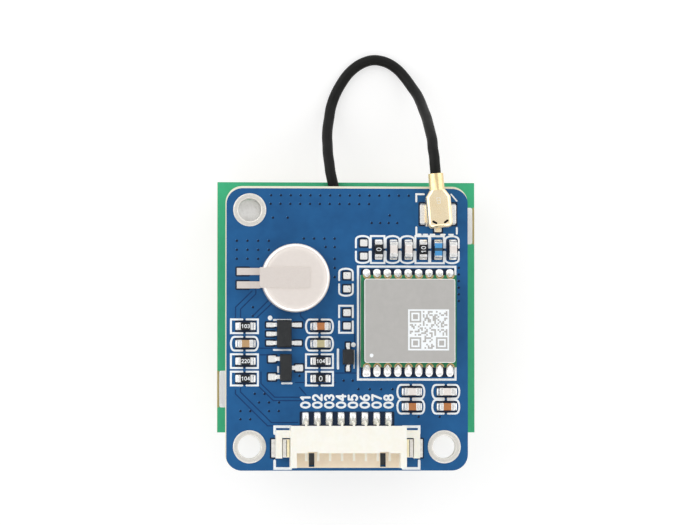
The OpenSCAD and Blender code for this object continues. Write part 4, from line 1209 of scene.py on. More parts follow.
@dataclass
class MainBoard:
    """The blue board: laminate, plated holes, pads, vias, tracks and white print.

    A group of vias is its first place, its counts across and down, and its steps. A line of print
    is its width, or nought for the usual one, and its points. An empty place is where it lies and
    whether its brackets are bowed. The header's outline is its half width and its back and front
    lines, and its arms are their length and the turn at the end of each.
    """

    via_groups: tuple = (
        (-8.0, 14.09, 15, 1, 1.037, 0.0), (-8.05, 13.19, 11, 1, 1.037, 0.0),
        (-11.6, 9.29, 4, 3, 1.12, -0.95), (-7.8, 11.73, 2, 1, 1.55, 0.0),
        (-4.55, 9.54, 4, 1, 1.08, 0.0), (-2.25, 8.65, 2, 1, 0.95, 0.0),
        (-1.3, 7.41, 1, 3, 0.0, -0.96), (-9.7, -6.79, 2, 1, 1.03, 0.0),
        (-9.25, -7.7, 3, 1, 1.05, 0.0), (-11.2, -8.6, 2, 2, 1.03, -0.86),
        (-8.2, -8.6, 2, 1, 1.02, 0.0), (11.8, 6.5, 1, 6, 0.0, -0.7),
        (4.5, 12.0, 1, 1, 0.0, 0.0), (2.6, 11.2, 4, 1, 0.9, 0.0), (-9.9, 2.3, 1, 2, 0.0, -0.9),
        (-0.35, -5.4, 2, 1, 0.95, 0.0), (-5.0, -4.9, 1, 1, 0.0, 0.0), (7.55, -9.2, 2, 1, 2.22, 0.0),
        (1.2, -6.3, 4, 1, 1.2, 0.0),
    )
    tracks: tuple = (
        ((-11.73, -6.4), (-11.73, -6.8), (-8.35, -10.15), (-5.1, -10.15)),
        ((-11.2, -6.2), (-11.2, -6.6), (-7.95, -9.8), (-5.2, -9.8)),
        ((-9.05, -4.5), (-9.05, -5.7), (-7.6, -7.15), (-4.9, -7.15)),
        ((-9.4, -4.9), (-9.4, -5.9), (-7.75, -7.5), (-4.9, -7.5)),
        ((-11.73, 1.2), (-11.73, 2.3), (-10.0, 4.0)),
        ((-11.2, 1.2), (-11.2, 2.1), (-9.6, 3.7), (-9.6, 4.3)),
        ((-10.0, 1.3), (-7.8, 3.5)), ((-9.5, 1.2), (-7.4, 3.2)),
        ((-9.2, -2.0), (-7.9, -2.0)), ((-9.2, -2.7), (-7.9, -2.7)),
        ((-5.4, -5.6), (-1.2, -5.6)), ((-5.0, -6.1), (-4.3, -6.9)), ((-1.2, -4.6), (1.2, -4.6)),
        ((-4.4, 0.9), (-4.9, 1.4), (-4.9, 2.2)), ((0.3, 0.0), (0.8, -0.5), (0.8, -1.4)),
    )
    part_lines: tuple = (
        (0.0, (-7.7, 0.97), (-5.94, 0.97)),
        (0.0, (-7.7, -2.18), (-5.94, -2.18)),
        (0.0, (-6.84, -5.68), (-5.83, -5.68)),
        (0.0, (-7.24, -3.97), (-7.24, -4.5)),
        (0.25, (-0.95, -2.14), (-0.95, -4.11)),
        (0.1, (0.74, -2.2), (0.74, -4.1)),
    )
    socket_lines: tuple = (
        (0.0, (7.32, 13.5), (7.32, 14.25), (8.12, 14.25)),
        (0.0, (7.32, 10.75), (7.32, 10.0), (7.77, 10.0)),
        (0.17, (8.07, 10.0), (8.49, 10.0)),
        (0.17, (8.82, 10.0), (9.24, 10.0)),
        (0.17, (9.92, 10.0), (10.34, 10.0)),
        (0.17, (10.77, 10.0), (11.19, 10.0)),
        (0.0, (11.6, 10.1), (11.6, 10.7)),
        (0.15, (11.0, 14.25), (11.6, 13.55)),
    )
    empty_places: tuple = (((1.77, 8.4), True), ((0.0, 4.95), True), ((0.0, 1.05), False))
    regulator_dot: tuple[float, float] = (-8.09, 1.18)
    diode_dot: tuple[float, float] = (0.67, -1.63)
    dot_radius: float = 0.25
    origin_up: float = 14.85
    hole_radius: float = 1.2
    ring_sink: float = 0.05
    ring_rise: float = 0.09
    header_shade: tuple[float, float] = (-1.9, -0.3)
    chip_clearing: tuple[float, float] = (0.3, 0.3)
    row_clearing: tuple[float, float] = (0.3, 0.2)
    tail_clearing: tuple[float, float] = (0.24, 0.16)
    pad_clearing: tuple[float, float] = (0.16, 0.16)
    clearing_sink: float = 0.01
    clearing_rise: float = 0.002
    clearing_step: float = 0.0002
    terminal_reach: tuple[float, float] = (0.1, 1.2)
    oval_pad: float = 2.6
    square_pad: float = 9.0
    via_radius: float = 0.13
    glint_shift: tuple[float, float, float] = (-0.1, 0.09, 0.0)
    track_width: float = 0.13
    track_rise: float = 0.012
    ink_rise: float = 0.01
    print_shift: tuple[float, float] = (-0.11, 0.0)
    chip_outline: tuple[float, float] = (1.42, 0.72)
    chip_gap: float = 0.22
    receiver_outline: tuple[float, float, float, float] = (1.16, -5.28, 11.44, 6.6)
    receiver_line: float = 0.235
    header_outline: tuple[float, float, float] = (7.6, -10.24, -14.62)
    header_arms: tuple[float, float, float] = (1.7, -0.72, 0.8)
    header_line: float = 0.28
    figure_up: float = 1.22
    figure_size: float = 0.9
    figure_line: float = 0.23

    def __post_init__(self) -> None:
        """Takes the board's place from the frame."""
        self.box = Box.of("main_board")
        self.top = float(self.box.high[2])
        self.pads = solid_boxes("solder_pads")
        self.middle = np.array([self.box.centre[0], self.box.low[1] + self.origin_up, 0.0])

    def build(self) -> None:
        """Makes all of the board's pieces."""
        soft_copy("main_board", "laminate", [BLUE_MASK, LAMINATE], paint=Paint.WALLS)
        self._holes()
        self._clearings()
        self._pads()
        self._vias()
        self._tracks()
        self._print()

    def _holes(self) -> None:
        """Plated holes: a closed loop of barrel wall and two domed rings, turned about each hole."""
        shapes = []
        for box in solid_boxes("hole_rings"):
            outer, low, high = box.size[0] / 2, box.low[2], box.high[2]
            inner = self.hole_radius
            turn = np.linspace(0, np.pi, 9)
            radius = (outer + inner) / 2 + (outer - inner) / 2 * np.cos(turn)
            lift = high - self.ring_sink + self.ring_rise * np.sin(turn) ** 0.5
            swell = np.column_stack([radius, lift])
            under = swell * [1, -1] + [0, low + high]
            profile = np.concatenate([swell, under[::-1]])
            shapes.append(revolved(profile, 56, closed=True).moved(*box.centre[:2]))
        add_piece("plated_holes", shapes, [RING_TIN], ("hole_rings",))

    def _clearings(self) -> None:
        """Darker patches round the pads and parts, each a hair higher than the last: copper clearings
        darkened further as painted shade, and grey painted shade under the header.
        """
        joints = solid_boxes("receiver_joints")
        middle = Box.of("receiver_board").centre[1]
        rows = [
            [box for box in joints if (box.centre[1] > middle) == upper] for upper in (True, False)
        ]
        # Grey painted shade on the board under the header, seen through its slots.
        patches = [Box.of("header_housing").grown(*self.header_shade)]
        # Patches round the chips, rows, tails and lone pads: copper clearings darkened further as painted
        # shade.
        patches += [Box.of(node).grown(*self.chip_clearing) for node in CHIP_LOOKS]
        patches += [self._around(row).grown(*self.row_clearing) for row in rows]
        patches.append(self._around(self._tails()).grown(*self.tail_clearing))
        for pad in self.pads:
            if not any(patch.holds(pad.centre) for patch in patches):
                patches.append(pad.grown(*self.pad_clearing))
        shapes = []
        foot = self.top - self.clearing_sink
        for place, box in enumerate(patches):
            top = self.top + self.clearing_rise + self.clearing_step * place
            patch = Box(np.array([*box.low[:2], foot]), np.array([*box.high[:2], top]))
            shapes.append(rounded_slab(patch, 0.15, 0.001, 3, 1).painted(int(place == 0)))
        add_piece("clearings_and_shade", shapes, [BLUE_CLEARING_SHADE, UNDER_SHADE])

    def _tails(self) -> list[Box]:
        """Finds the pads of the header's pins.

        Returns:
            The box of each pad behind the housing and beside the pins.
        """
        pins = Box.of("header_pins").grown(0.5, 0.1)
        back = Box.of("header_housing").high[1]
        return [box for box in self.pads
                if box.low[1] > back and box.high[1] < pins.high[1]
                and pins.low[0] < box.centre[0] < pins.high[0]]

    @staticmethod
    def _around(boxes: list[Box]) -> Box:
        """Box round several boxes.

        Args:
            boxes: what it goes round.

        Returns:
            The one box.
        """
        lows = [box.low for box in boxes]
        highs = [box.high for box in boxes]
        return Box(np.min(lows, axis=0), np.max(highs, axis=0))

    def _pads(self) -> None:
        """Tinned pads, each a low dome, with round ends under all but one of the receiver's terminals."""
        receiver = Box.of("receiver_board").grown(*self.terminal_reach)
        under = [receiver.holds(box.centre) for box in self.pads]
        terminals = [box for box, inside in zip(self.pads, under) if inside]
        first = first_terminal(terminals, receiver)
        shapes = [
            domed_pad(box, float(box.size[2]),
                      self.oval_pad if inside and box is not first else self.square_pad)
            for box, inside in zip(self.pads, under)
        ]
        add_piece("tinned_pads", shapes, [TINNED], ("solder_pads",))

    def _vias(self) -> None:
        """Coated vias: low rims round small dark dimples, each with a painted glint, a paler spot, beside
        it.
        """
        glint = np.array([[0.055, 0.0], [0.05, 0.007], [0.03, 0.009]])
        rim = np.array([[1.0, 0.0], [0.9, 0.012], [0.62, 0.015], [0.5, 0.002]]) * [self.via_radius, 1]
        shapes = []
        for x, y, across, down, step_x, step_y in self.via_groups:
            for i in range(across):
                for j in range(down):
                    place = self.middle + [x + i * step_x, y + j * step_y, self.top]
                    shapes.append(revolved(rim, 12).moved(*place))
                    shapes.append(revolved(glint, 8).painted(1).moved(*(place + self.glint_shift)))
        add_piece("vias", shapes, [VIA_DARK, VIA_GLINT])

    def _tracks(self) -> None:
        """Buried tracks, which lift the coating a little."""
        shapes = [
            stroke(np.array(points) + self.middle[:2], self.track_width, self.top, self.track_rise)
            for points in self.tracks
        ]
        add_piece("buried_tracks", shapes, [BLUE_TRACE])

    def _print(self) -> None:
        """White print: brackets round the chips, outlines of the larger parts and plain numbers."""
        ink = Print(self.top + self.ink_rise)
        for node in CHIP_LOOKS:
            box = Box.of(node)
            upright = bool(box.size[1] > box.size[0])
            centre = box.centre[:2] + self.print_shift
            ink.brackets(centre, self.chip_outline, self.chip_gap, "capacitor" in node, upright)
        low, high = np.array(self.receiver_outline).reshape(2, 2) + self.middle[:2]
        ink.box(low, high, self.receiver_line)
        self._part_outlines(ink)
        pins = solid_boxes("header_pins")
        for place, box in enumerate(sorted(pins, key=lambda pin: pin.centre[0])):
            ink.number(f"0{place + 1}", box.centre[0], box.high[1] + self.figure_up, self.figure_size,
                       90, self.figure_line)
        add_piece("white_print", ink.marks, [SILK])

    def _part_outlines(self, ink: Print) -> None:
        """Prints beside the moulded parts, the empty places, the coaxial socket and the header.

        Args:
            ink: the print that the marks are added to.
        """
        origin = self.middle[:2]
        ink.dot(*(origin + self.regulator_dot), self.dot_radius)
        self._lines(ink, self.part_lines)
        ink.dot(*(origin + self.diode_dot), self.dot_radius)
        for place, bowed in self.empty_places:
            centre = origin + place + self.print_shift
            ink.brackets(centre, self.chip_outline, self.chip_gap, bowed, True)
        self._lines(ink, self.socket_lines)
        out, back, front = self.header_outline
        arm, back_turn, front_turn = self.header_arms
        for side in (-1, 1):
            for line, turn in ((back, back_turn), (front, front_turn)):
                corner = ((side * (out - arm), line), (side * out, line), (side * out, line + turn))
                self._lines(ink, ((self.header_line, *corner),))

    def _lines(self, ink: Print, lines: tuple) -> None:
        """Prints lines, each given as its width, or nought for the usual one, and its points."""
        for width, *points in lines:
            ink.path(np.array(points) + self.middle[:2], width)


# Chip parts


@dataclass(frozen=True)
class ChipLook:
    """Finish of a chip part's body, the slot of its record and its printed figures, if any."""

    finish: Finish
    slot: str
    figures: str = ""
    turn: float = 0.0


CHIP_LOOKS: dict[str, ChipLook] = {
    "left_resistor_1": ChipLook(GLAZE, "resistor_black", "103"),
    "left_capacitor": ChipLook(TAN_CERAMIC, "capacitor_tan"),
    "left_resistor_2": ChipLook(GLAZE, "resistor_black", "220"),
    "left_resistor_3": ChipLook(GLAZE, "resistor_black", "104"),
    "middle_capacitor_1": ChipLook(ORANGE_CERAMIC, "capacitor_orange"),
    "middle_capacitor_2": ChipLook(SAND_CERAMIC, "capacitor_tan"),
    "middle_resistor_1": ChipLook(GLAZE, "resistor_black", "104"),
    "middle_resistor_2": ChipLook(GLAZE, "resistor_black", "0"),
    "row_resistor_1": ChipLook(GLAZE, "resistor_black", "0", 90.0),
    "row_capacitor_1": ChipLook(WHITE_CERAMIC, "capacitor_white"),
    "row_capacitor_2": ChipLook(WHITE_CERAMIC, "capacitor_white"),
    "row_resistor_2": ChipLook(GLAZE, "resistor_black", "10", 90.0),
    "row_inductor": ChipLook(BLUE_CERAMIC, "inductor_blue"),
    "row_capacitor_3": ChipLook(WHITE_CERAMIC, "capacitor_white"),
    "corner_capacitor_1": ChipLook(WHITE_CERAMIC, "capacitor_white"),
    "corner_capacitor_2": ChipLook(WHITE_CERAMIC, "capacitor_white"),
    "corner_capacitor_3": ChipLook(ORANGE_CERAMIC, "capacitor_orange"),
    "corner_capacitor_4": ChipLook(ORANGE_CERAMIC, "capacitor_orange"),
}


@dataclass
class ChipParts:
    """Small two-ended parts: a ceramic body, two metal ends and the solder that climbs them."""

    resistor_end: float = 0.3
    capacitor_end: float = 0.42
    inductor_end: float = 0.16
    body_inset: float = 0.025
    band_inset: float = 0.01
    band_half: float = 0.16
    figure_sizes: tuple[float, float, float] = (0.5, 0.44, 0.36)
    figure_line: float = 0.07
    ink_sink: float = 0.004
    ink_height: float = 0.012
    solder_reach: float = 0.26
    solder_lap: float = 0.02
    solder_half: float = 0.36
    solder_spread: float = 0.03
    solder_least: float = 0.03
    solder_climb: float = 0.45

    def build(self) -> None:
        """Makes every chip part, then all of their solder as one piece."""
        solder: list[Shape] = []
        for node, look in CHIP_LOOKS.items():
            self._chip(node, look)
            solder += self._solder(Box.of(node))
        add_piece("chip_solder", solder, [SOLDER])

    def _chip(self, node: str, look: ChipLook) -> None:
        """Makes one chip part: the body and, a little larger, its two ends.

        Args:
            node: the part's CAD node.
            look: its looks.
        """
        box = Box.of(node)
        axis = int(box.size[1] > box.size[0])
        step = np.full(3, self.body_inset)
        body = rounded_slab(Box(box.low + step, box.high - step), 0.05, 0.04)
        ends = {"resistor": self.resistor_end, "capacitor": self.capacitor_end,
                "inductor": self.inductor_end}
        end = ends[node.split("_")[1]]
        shapes = [body]
        for side in (-1, 1):
            low, high = box.low.copy(), box.high.copy()
            if side < 0:
                high[axis] = low[axis] + end
            else:
                low[axis] = high[axis] - end
            shapes.append(rounded_slab(Box(low, high), 0.09, 0.07).painted(1))
        # The ends' dark patches are painted reflections.
        finishes = [look.finish, CHIP_END]
        if node == "row_inductor":
            low, high = box.low + self.band_inset, box.high - self.band_inset
            low[axis] = box.centre[axis] - self.band_half
            high[axis] = box.centre[axis] + self.band_half
            shapes.append(rounded_slab(Box(low, high), 0.05, 0.03).painted(2))
            finishes.append(BAND_DARK)
        if look.figures:
            ink = Print(float(box.high[2] - self.body_inset) - self.ink_sink, height=self.ink_height)
            size = self.figure_sizes[len(look.figures) - 1]
            ink.number(look.figures, box.centre[0], box.centre[1], size, look.turn, self.figure_line)
            shapes += [mark.painted(2) for mark in ink.marks]
            finishes.append(SILK)
        add_piece(node + "_part", shapes, finishes, (node,))

    def _solder(self, box: Box) -> list[Shape]:
        """Two fillets whose height falls from the end as a power of what is left of the pad.

        Args:
            box: the chip part's box.

        Returns:
            The two lumps of solder.
        """
        axis = int(box.size[1] > box.size[0])
        share = np.linspace(0, 1, 7)
        half = (self.solder_half + self.solder_spread * share) * np.sqrt(1.02 - share**6)
        rise = self.solder_least + self.solder_climb * float(box.size[2]) * (1 - share) ** 2.2
        shapes = []
        for side in (-1.0, 1.0):
            way = np.array([0.0, side]) if axis else np.array([side, 0.0])
            start = box.centre[:2] + way * (box.size[axis] / 2 - self.solder_lap)
            shapes.append(ridge(start, way, share * self.solder_reach, half, rise,
                                box.low[2] - self.solder_least, fullness=0.45))
        return shapes


# Receiver


@dataclass
class Receiver:
    """The shielded receiver with its half-hole terminals."""

    solder_back: float = 0.24
    solder_past: float = 0.17
    solder_half: float = 0.41
    solder_least: float = 0.05
    solder_dome: float = 0.1
    solder_climb: float = 0.66
    oval_power: float = 2.5
    square_power: float = 9.0
    rim_radius: float = 0.37
    rim_width: float = 0.12
    rim_height: float = 0.015
    ink_sink: float = 0.003
    ink_height: float = 0.012
    ink_step: float = 0.0006
    dot_inset: float = 0.75
    dot_radius: float = 0.2
    code_cells: int = 25
    code_side: float = 4.3
    code_inset: tuple[float, float] = (0.66, 1.28)
    bare_share: float = 0.45

    def build(self) -> None:
        """Makes the receiver's board, terminals, shield and print."""
        soft_copy("receiver_board", "receiver_plate", [RECEIVER_MASK, LAMINATE],
                  paint=Paint.WALLS)
        self._terminals()
        # The walls take the painted shade and the rounded edges the painted highlight.
        soft_copy("receiver_shield", "shield_cover", [NICKEL, NICKEL_SHADED_SIDE, NICKEL_HIGHLIGHT],
                  edge=0.13, segments=3, paint=Paint.WALLS, rim=2)
        for node, finish in (("receiver_chip", EPOXY), ("receiver_oscillator", INSULATOR),
                             ("receiver_filter", INSULATOR)):
            dress(node, finish)
        self._print()

    def _terminals(self) -> None:
        """Solder in each half hole, and the gilt rim of the hole on the receiver's top.

        A lump's plan is an oval of a power a little over two, or nearly square at the first
        terminal. Its height adds a low dome, a sine of the run, to a fillet that falls as a power
        of what is left of the run's first part.
        """
        plate = Box.of("receiver_board")
        joints = solid_boxes("receiver_joints")
        first = first_terminal(joints, plate)
        share = eased_run(16)
        rise = self.solder_least + self.solder_dome * np.sin(np.pi * share) ** 0.6
        rise += self.solder_climb * np.clip(1 - 1.5 * share, 0, 1) ** 1.4
        lumps, rims = [], []
        for box in joints:
            out = 1.0 if box.centre[1] > plate.centre[1] else -1.0
            edge = plate.high[1] if out > 0 else plate.low[1]
            end = (box.high[1] if out > 0 else box.low[1]) + out * self.solder_past
            start = np.array([box.centre[0], edge - out * self.solder_back])
            power = self.square_power if box is first else self.oval_power
            half = self.solder_half * oval(share, power)
            lumps.append(ridge(start, np.array([0.0, out]), share * abs(end - start[1]), half, rise,
                               box.low[2], fullness=0.6, points=13))
            sweep = (192, 348) if out > 0 else (12, 168)
            rim = arc(box.centre[0], edge, self.rim_radius, self.rim_radius, *sweep, 10)
            rims.append(stroke(rim, self.rim_width, plate.high[2], self.rim_height))
        add_piece("terminal_solder", lumps, [SOLDER], ("receiver_joints",))
        add_piece("half_hole_rims", rims, [HOLE_GOLD])

    def _print(self) -> None:
        """Generic print on the shield: a corner dot and a block of cells set by a formula.

        Round three corners the cells make nested squares by their distance from the corner's
        middle cell. Elsewhere a cell is inked where a sine of its number, scaled up, leaves a
        fraction above bare_share. A border of ink runs round the block. A row's inked stretches
        are bars, a hair higher or lower than those of the rows beside it.
        """
        shield = Box.of("receiver_shield")
        base = float(shield.high[2]) - self.ink_sink
        ink = Print(base, height=self.ink_height)
        ink.dot(shield.low[0] + self.dot_inset, shield.low[1] + self.dot_inset, self.dot_radius)
        cells = self.code_cells
        pitch = self.code_side / cells
        low = np.array([shield.high[0] - self.code_inset[0] - self.code_side,
                        shield.low[1] + self.code_inset[1]])
        column, row = np.meshgrid(np.arange(cells), np.arange(cells))
        inked = np.abs(np.sin(12.99 * column + 78.23 * row + 0.7) * 43758.5) % 1 > self.bare_share
        for x, y in ((4, 4), (cells - 5, 4), (4, cells - 5)):
            ring = np.maximum(np.abs(column - x), np.abs(row - y))
            inked = np.where(ring <= 4, (ring == 2) | (ring == 4), inked)
        edge = np.minimum(np.minimum(column, row), cells - 1 - np.maximum(column, row))
        inked |= edge == 0
        for line, filled in enumerate(inked):
            top = base + self.ink_height + self.ink_step * (line % 3)
            before = np.append(False, filled[:-1])
            for begin in np.flatnonzero(filled & ~before):
                length = int(np.argmin(np.append(filled[begin:], False)))
                corner = low + pitch * np.array([begin, line])
                far = corner + pitch * np.array([length, 1])
                bar = Box(np.array([*corner, base]), np.array([*far, top]))
                ink.marks.append(rounded_slab(bar, 0.01, 0.002, 1, 1))
        add_piece("shield_print", ink.marks, [SILK])


# Backup cell


@dataclass
class BackupCell:
    """The coin cell and its two welded tabs."""

    rim: float = 0.4
    step: float = 0.025
    wall_top: float = 1.0
    sides: int = 96
    highlight_rows: tuple[int, int] = (7, 10)

    def build(self) -> None:
        """Makes the cell and softens its tabs.

        The cell's profile goes up its wall and over a quarter-round shoulder, some of whose rows
        are painted highlight, then through a shallow groove to its plate.
        """
        box = Box.of("backup_cell")
        radius, low, high = box.size[0] / 2, box.low[2], box.high[2]
        turn = np.linspace(0, np.pi / 2, 7)
        shoulder = np.column_stack([radius - self.rim * (1 - np.cos(turn)),
                                    high - self.rim * (1 - np.sin(turn))])
        groove = radius - self.rim - 0.03
        profile = np.concatenate([
            [[radius - 0.45, low], [radius - 0.16, low + 0.02], [radius - 0.03, low + 0.12],
             [radius, low + 0.26], [radius, low + self.wall_top]],
            shoulder,
            [[groove, high - self.step], [groove - 0.05, high - self.step],
             [groove - 0.1, high - 0.004], [groove - 0.4, high], [0.2, high]],
        ])
        # Some rows of the shoulder carry the painted highlight.
        cell = revolved(profile, self.sides).banded(self.sides, *self.highlight_rows, 1)
        cell = cell.moved(*box.centre[:2])
        add_piece("coin_cell", [cell], [CELL, CELL_HIGHLIGHT], ("backup_cell",), sharp=50.0)
        soft_copy("cell_top_tab", "top_tab", [TAB], edge=0.02)
        soft_copy("cell_bottom_tab", "bottom_tab", [TAB], edge=0.02)


# Coaxial joint and lead


LEAD_ROUTE = np.array([
    (-1.2, 12.6, 5.7), (-1.2, 13.6, 5.7),
    (-1.3, 14.5, 5.7), (-1.5, 15.4, 5.7), (-1.7, 16.4, 5.5), (-1.8, 17.4, 5.1), (-1.9, 18.4, 4.4),
    (-1.9, 19.4, 3.6), (-1.9, 20.4, 2.8), (-1.8, 21.4, 2.1), (-1.6, 22.5, 1.4), (-1.4, 23.6, 0.9),
    (-1.0, 24.8, 0.7), (-0.4, 26.0, 0.6), (0.5, 27.3, 0.6), (1.7, 28.3, 0.6), (3.1, 28.8, 0.6),
    (4.5, 28.6, 0.6), (5.7, 27.9, 0.6), (6.6, 26.9, 0.9), (7.3, 25.8, 1.6), (7.8, 24.9, 2.5),
    (8.1, 24.0, 3.6), (8.3, 23.1, 4.9), (8.5, 22.2, 6.3), (8.6, 21.3, 7.7), (8.7, 20.4, 9.0),
    (8.8, 19.5, 10.1), (8.8, 18.6, 10.9), (8.9, 17.7, 11.4), (8.947, 16.88, 11.6),
    (9.034, 15.884, 11.6),
])


@dataclass
class CoaxialJoint:
    """The small coaxial socket, the folded plug on it, and the lead from the antenna.

    The painted shade under the plug's vents counts from the top of its contact, and the stamp on
    its roof, pale as a painted highlight, from the contact's middle, both before the plug is turned.
    """

    diameter: float = 1.13
    sides: int = 20
    steps: int = 5
    plug_turn: float = 5.0
    vent_low: tuple[float, float, float] = (-0.98, -1.16, -0.06)
    vent_high: tuple[float, float, float] = (0.98, -0.62, -0.004)
    stamp_low: tuple[float, float] = (-0.17, 1.02)
    stamp_high: tuple[float, float] = (0.17, 1.62)
    stamp_line: float = 0.05
    stamp_sink: float = 0.004
    stamp_height: float = 0.014
    tab_gap: float = 0.06
    tab_half: float = 1.08
    tab_lap: float = 0.02
    tab_foot: float = 0.05
    tab_rise: float = 0.19

    def build(self) -> None:
        """Makes the socket's looks, the plug and the lead."""
        soft_copy("socket_base", "socket_insulator", [INSULATOR], edge=0.04)
        soft_copy("socket_shell", "socket_ring", [GOLD], edge=0.025)
        soft_copy("socket_pin", "socket_centre", [GOLD], edge=0.02)
        dress("plug_insulator", INSULATOR)
        dress("plug_contact", GOLD)
        self._ground_solder()
        self._lead(self._plug())

    def _ground_solder(self) -> None:
        """Solder over the socket's two ground tabs, on either side of its base."""
        shell, base = Box.of("socket_shell"), Box.of("socket_base")
        foot = Box.of("main_board").high[2] + self.tab_foot
        front, back = base.centre[1] - self.tab_half, base.centre[1] + self.tab_half
        shapes = []
        for low, high in ((shell.low[0], base.low[0] - self.tab_gap),
                          (base.high[0] + self.tab_gap, shell.high[0])):
            box = Box(np.array([low - self.tab_lap, front, foot]),
                      np.array([high + self.tab_lap, back, foot + self.tab_rise]))
            shapes.append(domed_pad(box, self.tab_rise, 10.0))
        add_piece("ground_solder", shapes, [SOLDER])

    def _plug(self) -> list[bpy.types.Object]:
        """The plug as in the CAD, with rounded edges, painted shade under its vents and a stamp on its
        roof drawn in painted highlight.

        Returns:
            All of the plug's pieces, with the two CAD nodes that stay shown.
        """
        contact = Box.of("plug_contact")
        place = contact.centre[:2]
        inside = np.array([0.0, 0.0, contact.high[2]])
        space = Box(inside + self.vent_low, inside + self.vent_high)
        # Painted shade: a dark slab inside the plug, under its vents.
        dark = rounded_slab(space, 0.1, 0.01).turned(self.plug_turn).moved(*place)
        roof = float(Box.of("plug_shell").high[2])
        # The stamp is real relief; its pale lines are painted highlight where the relief catches light.
        stamp = Print(roof - self.stamp_sink, self.stamp_line, self.stamp_height)
        low, high = np.array(self.stamp_low), np.array(self.stamp_high)
        bar = (low[1] + high[1]) / 2
        stamp.box(low, high)
        stamp.line((low[0], bar), (high[0], bar))
        marks = [mark.turned(self.plug_turn).moved(*place) for mark in stamp.marks]
        return [
            soft_copy("plug_shell", "folded_plug", [GOLD, GOLD_CRIMP], edge=0.03,
                      crest=0.15, paint=Paint.FAR_END),
            add_piece("plug_painted_shade", [dark], [VENT_SHADE]),
            add_piece("plug_stamp_highlight", marks, [INSULATOR]),
            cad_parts["plug_insulator"],
            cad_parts["plug_contact"],
        ]

    def _lead(self, plug: list[bpy.types.Object]) -> None:
        """The lead: a round section carried along its smooth route.

        Args:
            plug: the plug's pieces, which are not used.
        """
        path = smooth_path(LEAD_ROUTE, self.steps)
        turn = np.linspace(0, 2 * np.pi, self.sides, endpoint=False)
        section = self.diameter / 2 * np.column_stack([np.cos(turn), np.sin(turn)])
        way = np.gradient(path, axis=0)
        side = np.cross(np.array([0.0, 0.0, 1.0]), way)
        lead = add_piece("coax_lead", [swept(path, section, side)], [JACKET],
                         ("coax_cable",))


# Header


@dataclass
class Header:
    """The side-entry header: housing, pins, nails and their solder."""

    nail_width: float = 0.74
    fold_share: float = 0.42
    fold_line: float = 0.075
    leaf_inset: float = 0.02
    leaf_ends: float = 0.03
    leaf_sink: float = 0.02
    leaf_rise: float = 0.012
    line_ends: float = 0.08
    line_sink: float = 0.004
    line_height: float = 0.02
    solder_run: float = 1.34
    solder_past: float = 0.1
    solder_half: float = 0.37
    solder_least: float = 0.07
    solder_rise: float = 0.3
    solder_sink: float = 0.02

    def build(self) -> None:
        """Makes the housing, the metal in it and the solder on its tails."""
        # The recess floor takes the warmer tint as painted shade.
        soft_copy("header_housing", "socket_housing", [NYLON, NYLON_SHADED], edge=0.07,
                  paint=Paint.DEEP_FLOOR)
        soft_copy("header_pins", "contact_pins", [PIN_TIN], edge=0.03)
        soft_copy("header_nails", "hold_down_nails", [NAIL_TIN], edge=0.03)
        self._folds()
        self._solder()

    def _folds(self) -> None:
        """The turned-over inner leaf on each nail's top, and the dark wandering line of painted shade in
        its fold.

        The line runs along the nail, and its place across adds two sines of the run.
        """
        centre = Box.of("header_housing").centre[0]
        shapes = []
        for nail in solid_boxes("header_nails"):
            side = 1.0 if nail.centre[0] < centre else -1.0
            inner = (nail.high if side > 0 else nail.low)[0] - side * self.leaf_inset
            fold = inner - side * self.fold_share * self.nail_width
            top = float(nail.high[2])
            front, back = nail.low[1] + self.leaf_ends, nail.high[1] - self.leaf_ends
            low = np.array([min(inner, fold), front, top - self.leaf_sink])
            high = np.array([max(inner, fold), back, top + self.leaf_rise])
            shapes.append(rounded_slab(Box(low, high), 0.03, 0.008, 2, 2))
            # The fold's line is painted shade in the crease between the leaves.
            run = np.linspace(front + self.line_ends, back - self.line_ends, 24)
            across = fold + 0.012 * np.sin(run * 21) + 0.008 * np.sin(run * 47)
            line = stroke(np.column_stack([across, run]), self.fold_line, top - self.line_sink,
                          self.line_height)
            shapes.append(line.painted(1))
        add_piece("nail_folds", shapes, [LEAF_TIN, UNDER_SHADE])

    def _solder(self) -> None:
        """Solder along each tail: nearly square in plan, and highest past the middle of its run.

        The height is a power of a sine whose phase leans towards the far end.
        """
        share = eased_run(16)
        half = self.solder_half * oval(share, 9)
        rise = self.solder_least + self.solder_rise * np.sin(np.pi * share**1.4) ** 0.6
        shapes = []
        for pin in solid_boxes("header_pins"):
            start = np.array([pin.centre[0], pin.high[1] + self.solder_past - self.solder_run])
            shapes.append(ridge(start, np.array([0.0, 1.0]), share * self.solder_run, half, rise,
                                pin.low[2] - self.solder_sink, fullness=0.8))
        add_piece("tail_solder", shapes, [SOLDER])


# Moulded parts


@dataclass
class MouldedParts:
    """Regulator, transistor and diode."""

    case_edge: float = 0.05
    leg_edge: float = 0.03

    def build(self) -> None:
        """Softens the bodies and their leads."""
        for part in ("regulator", "transistor", "diode"):
            soft_copy(part + "_body", part + "_case", [EPOXY], edge=self.case_edge)
            soft_copy(part + "_leads", part + "_legs", [TINNED], edge=self.leg_edge)


# Antenna


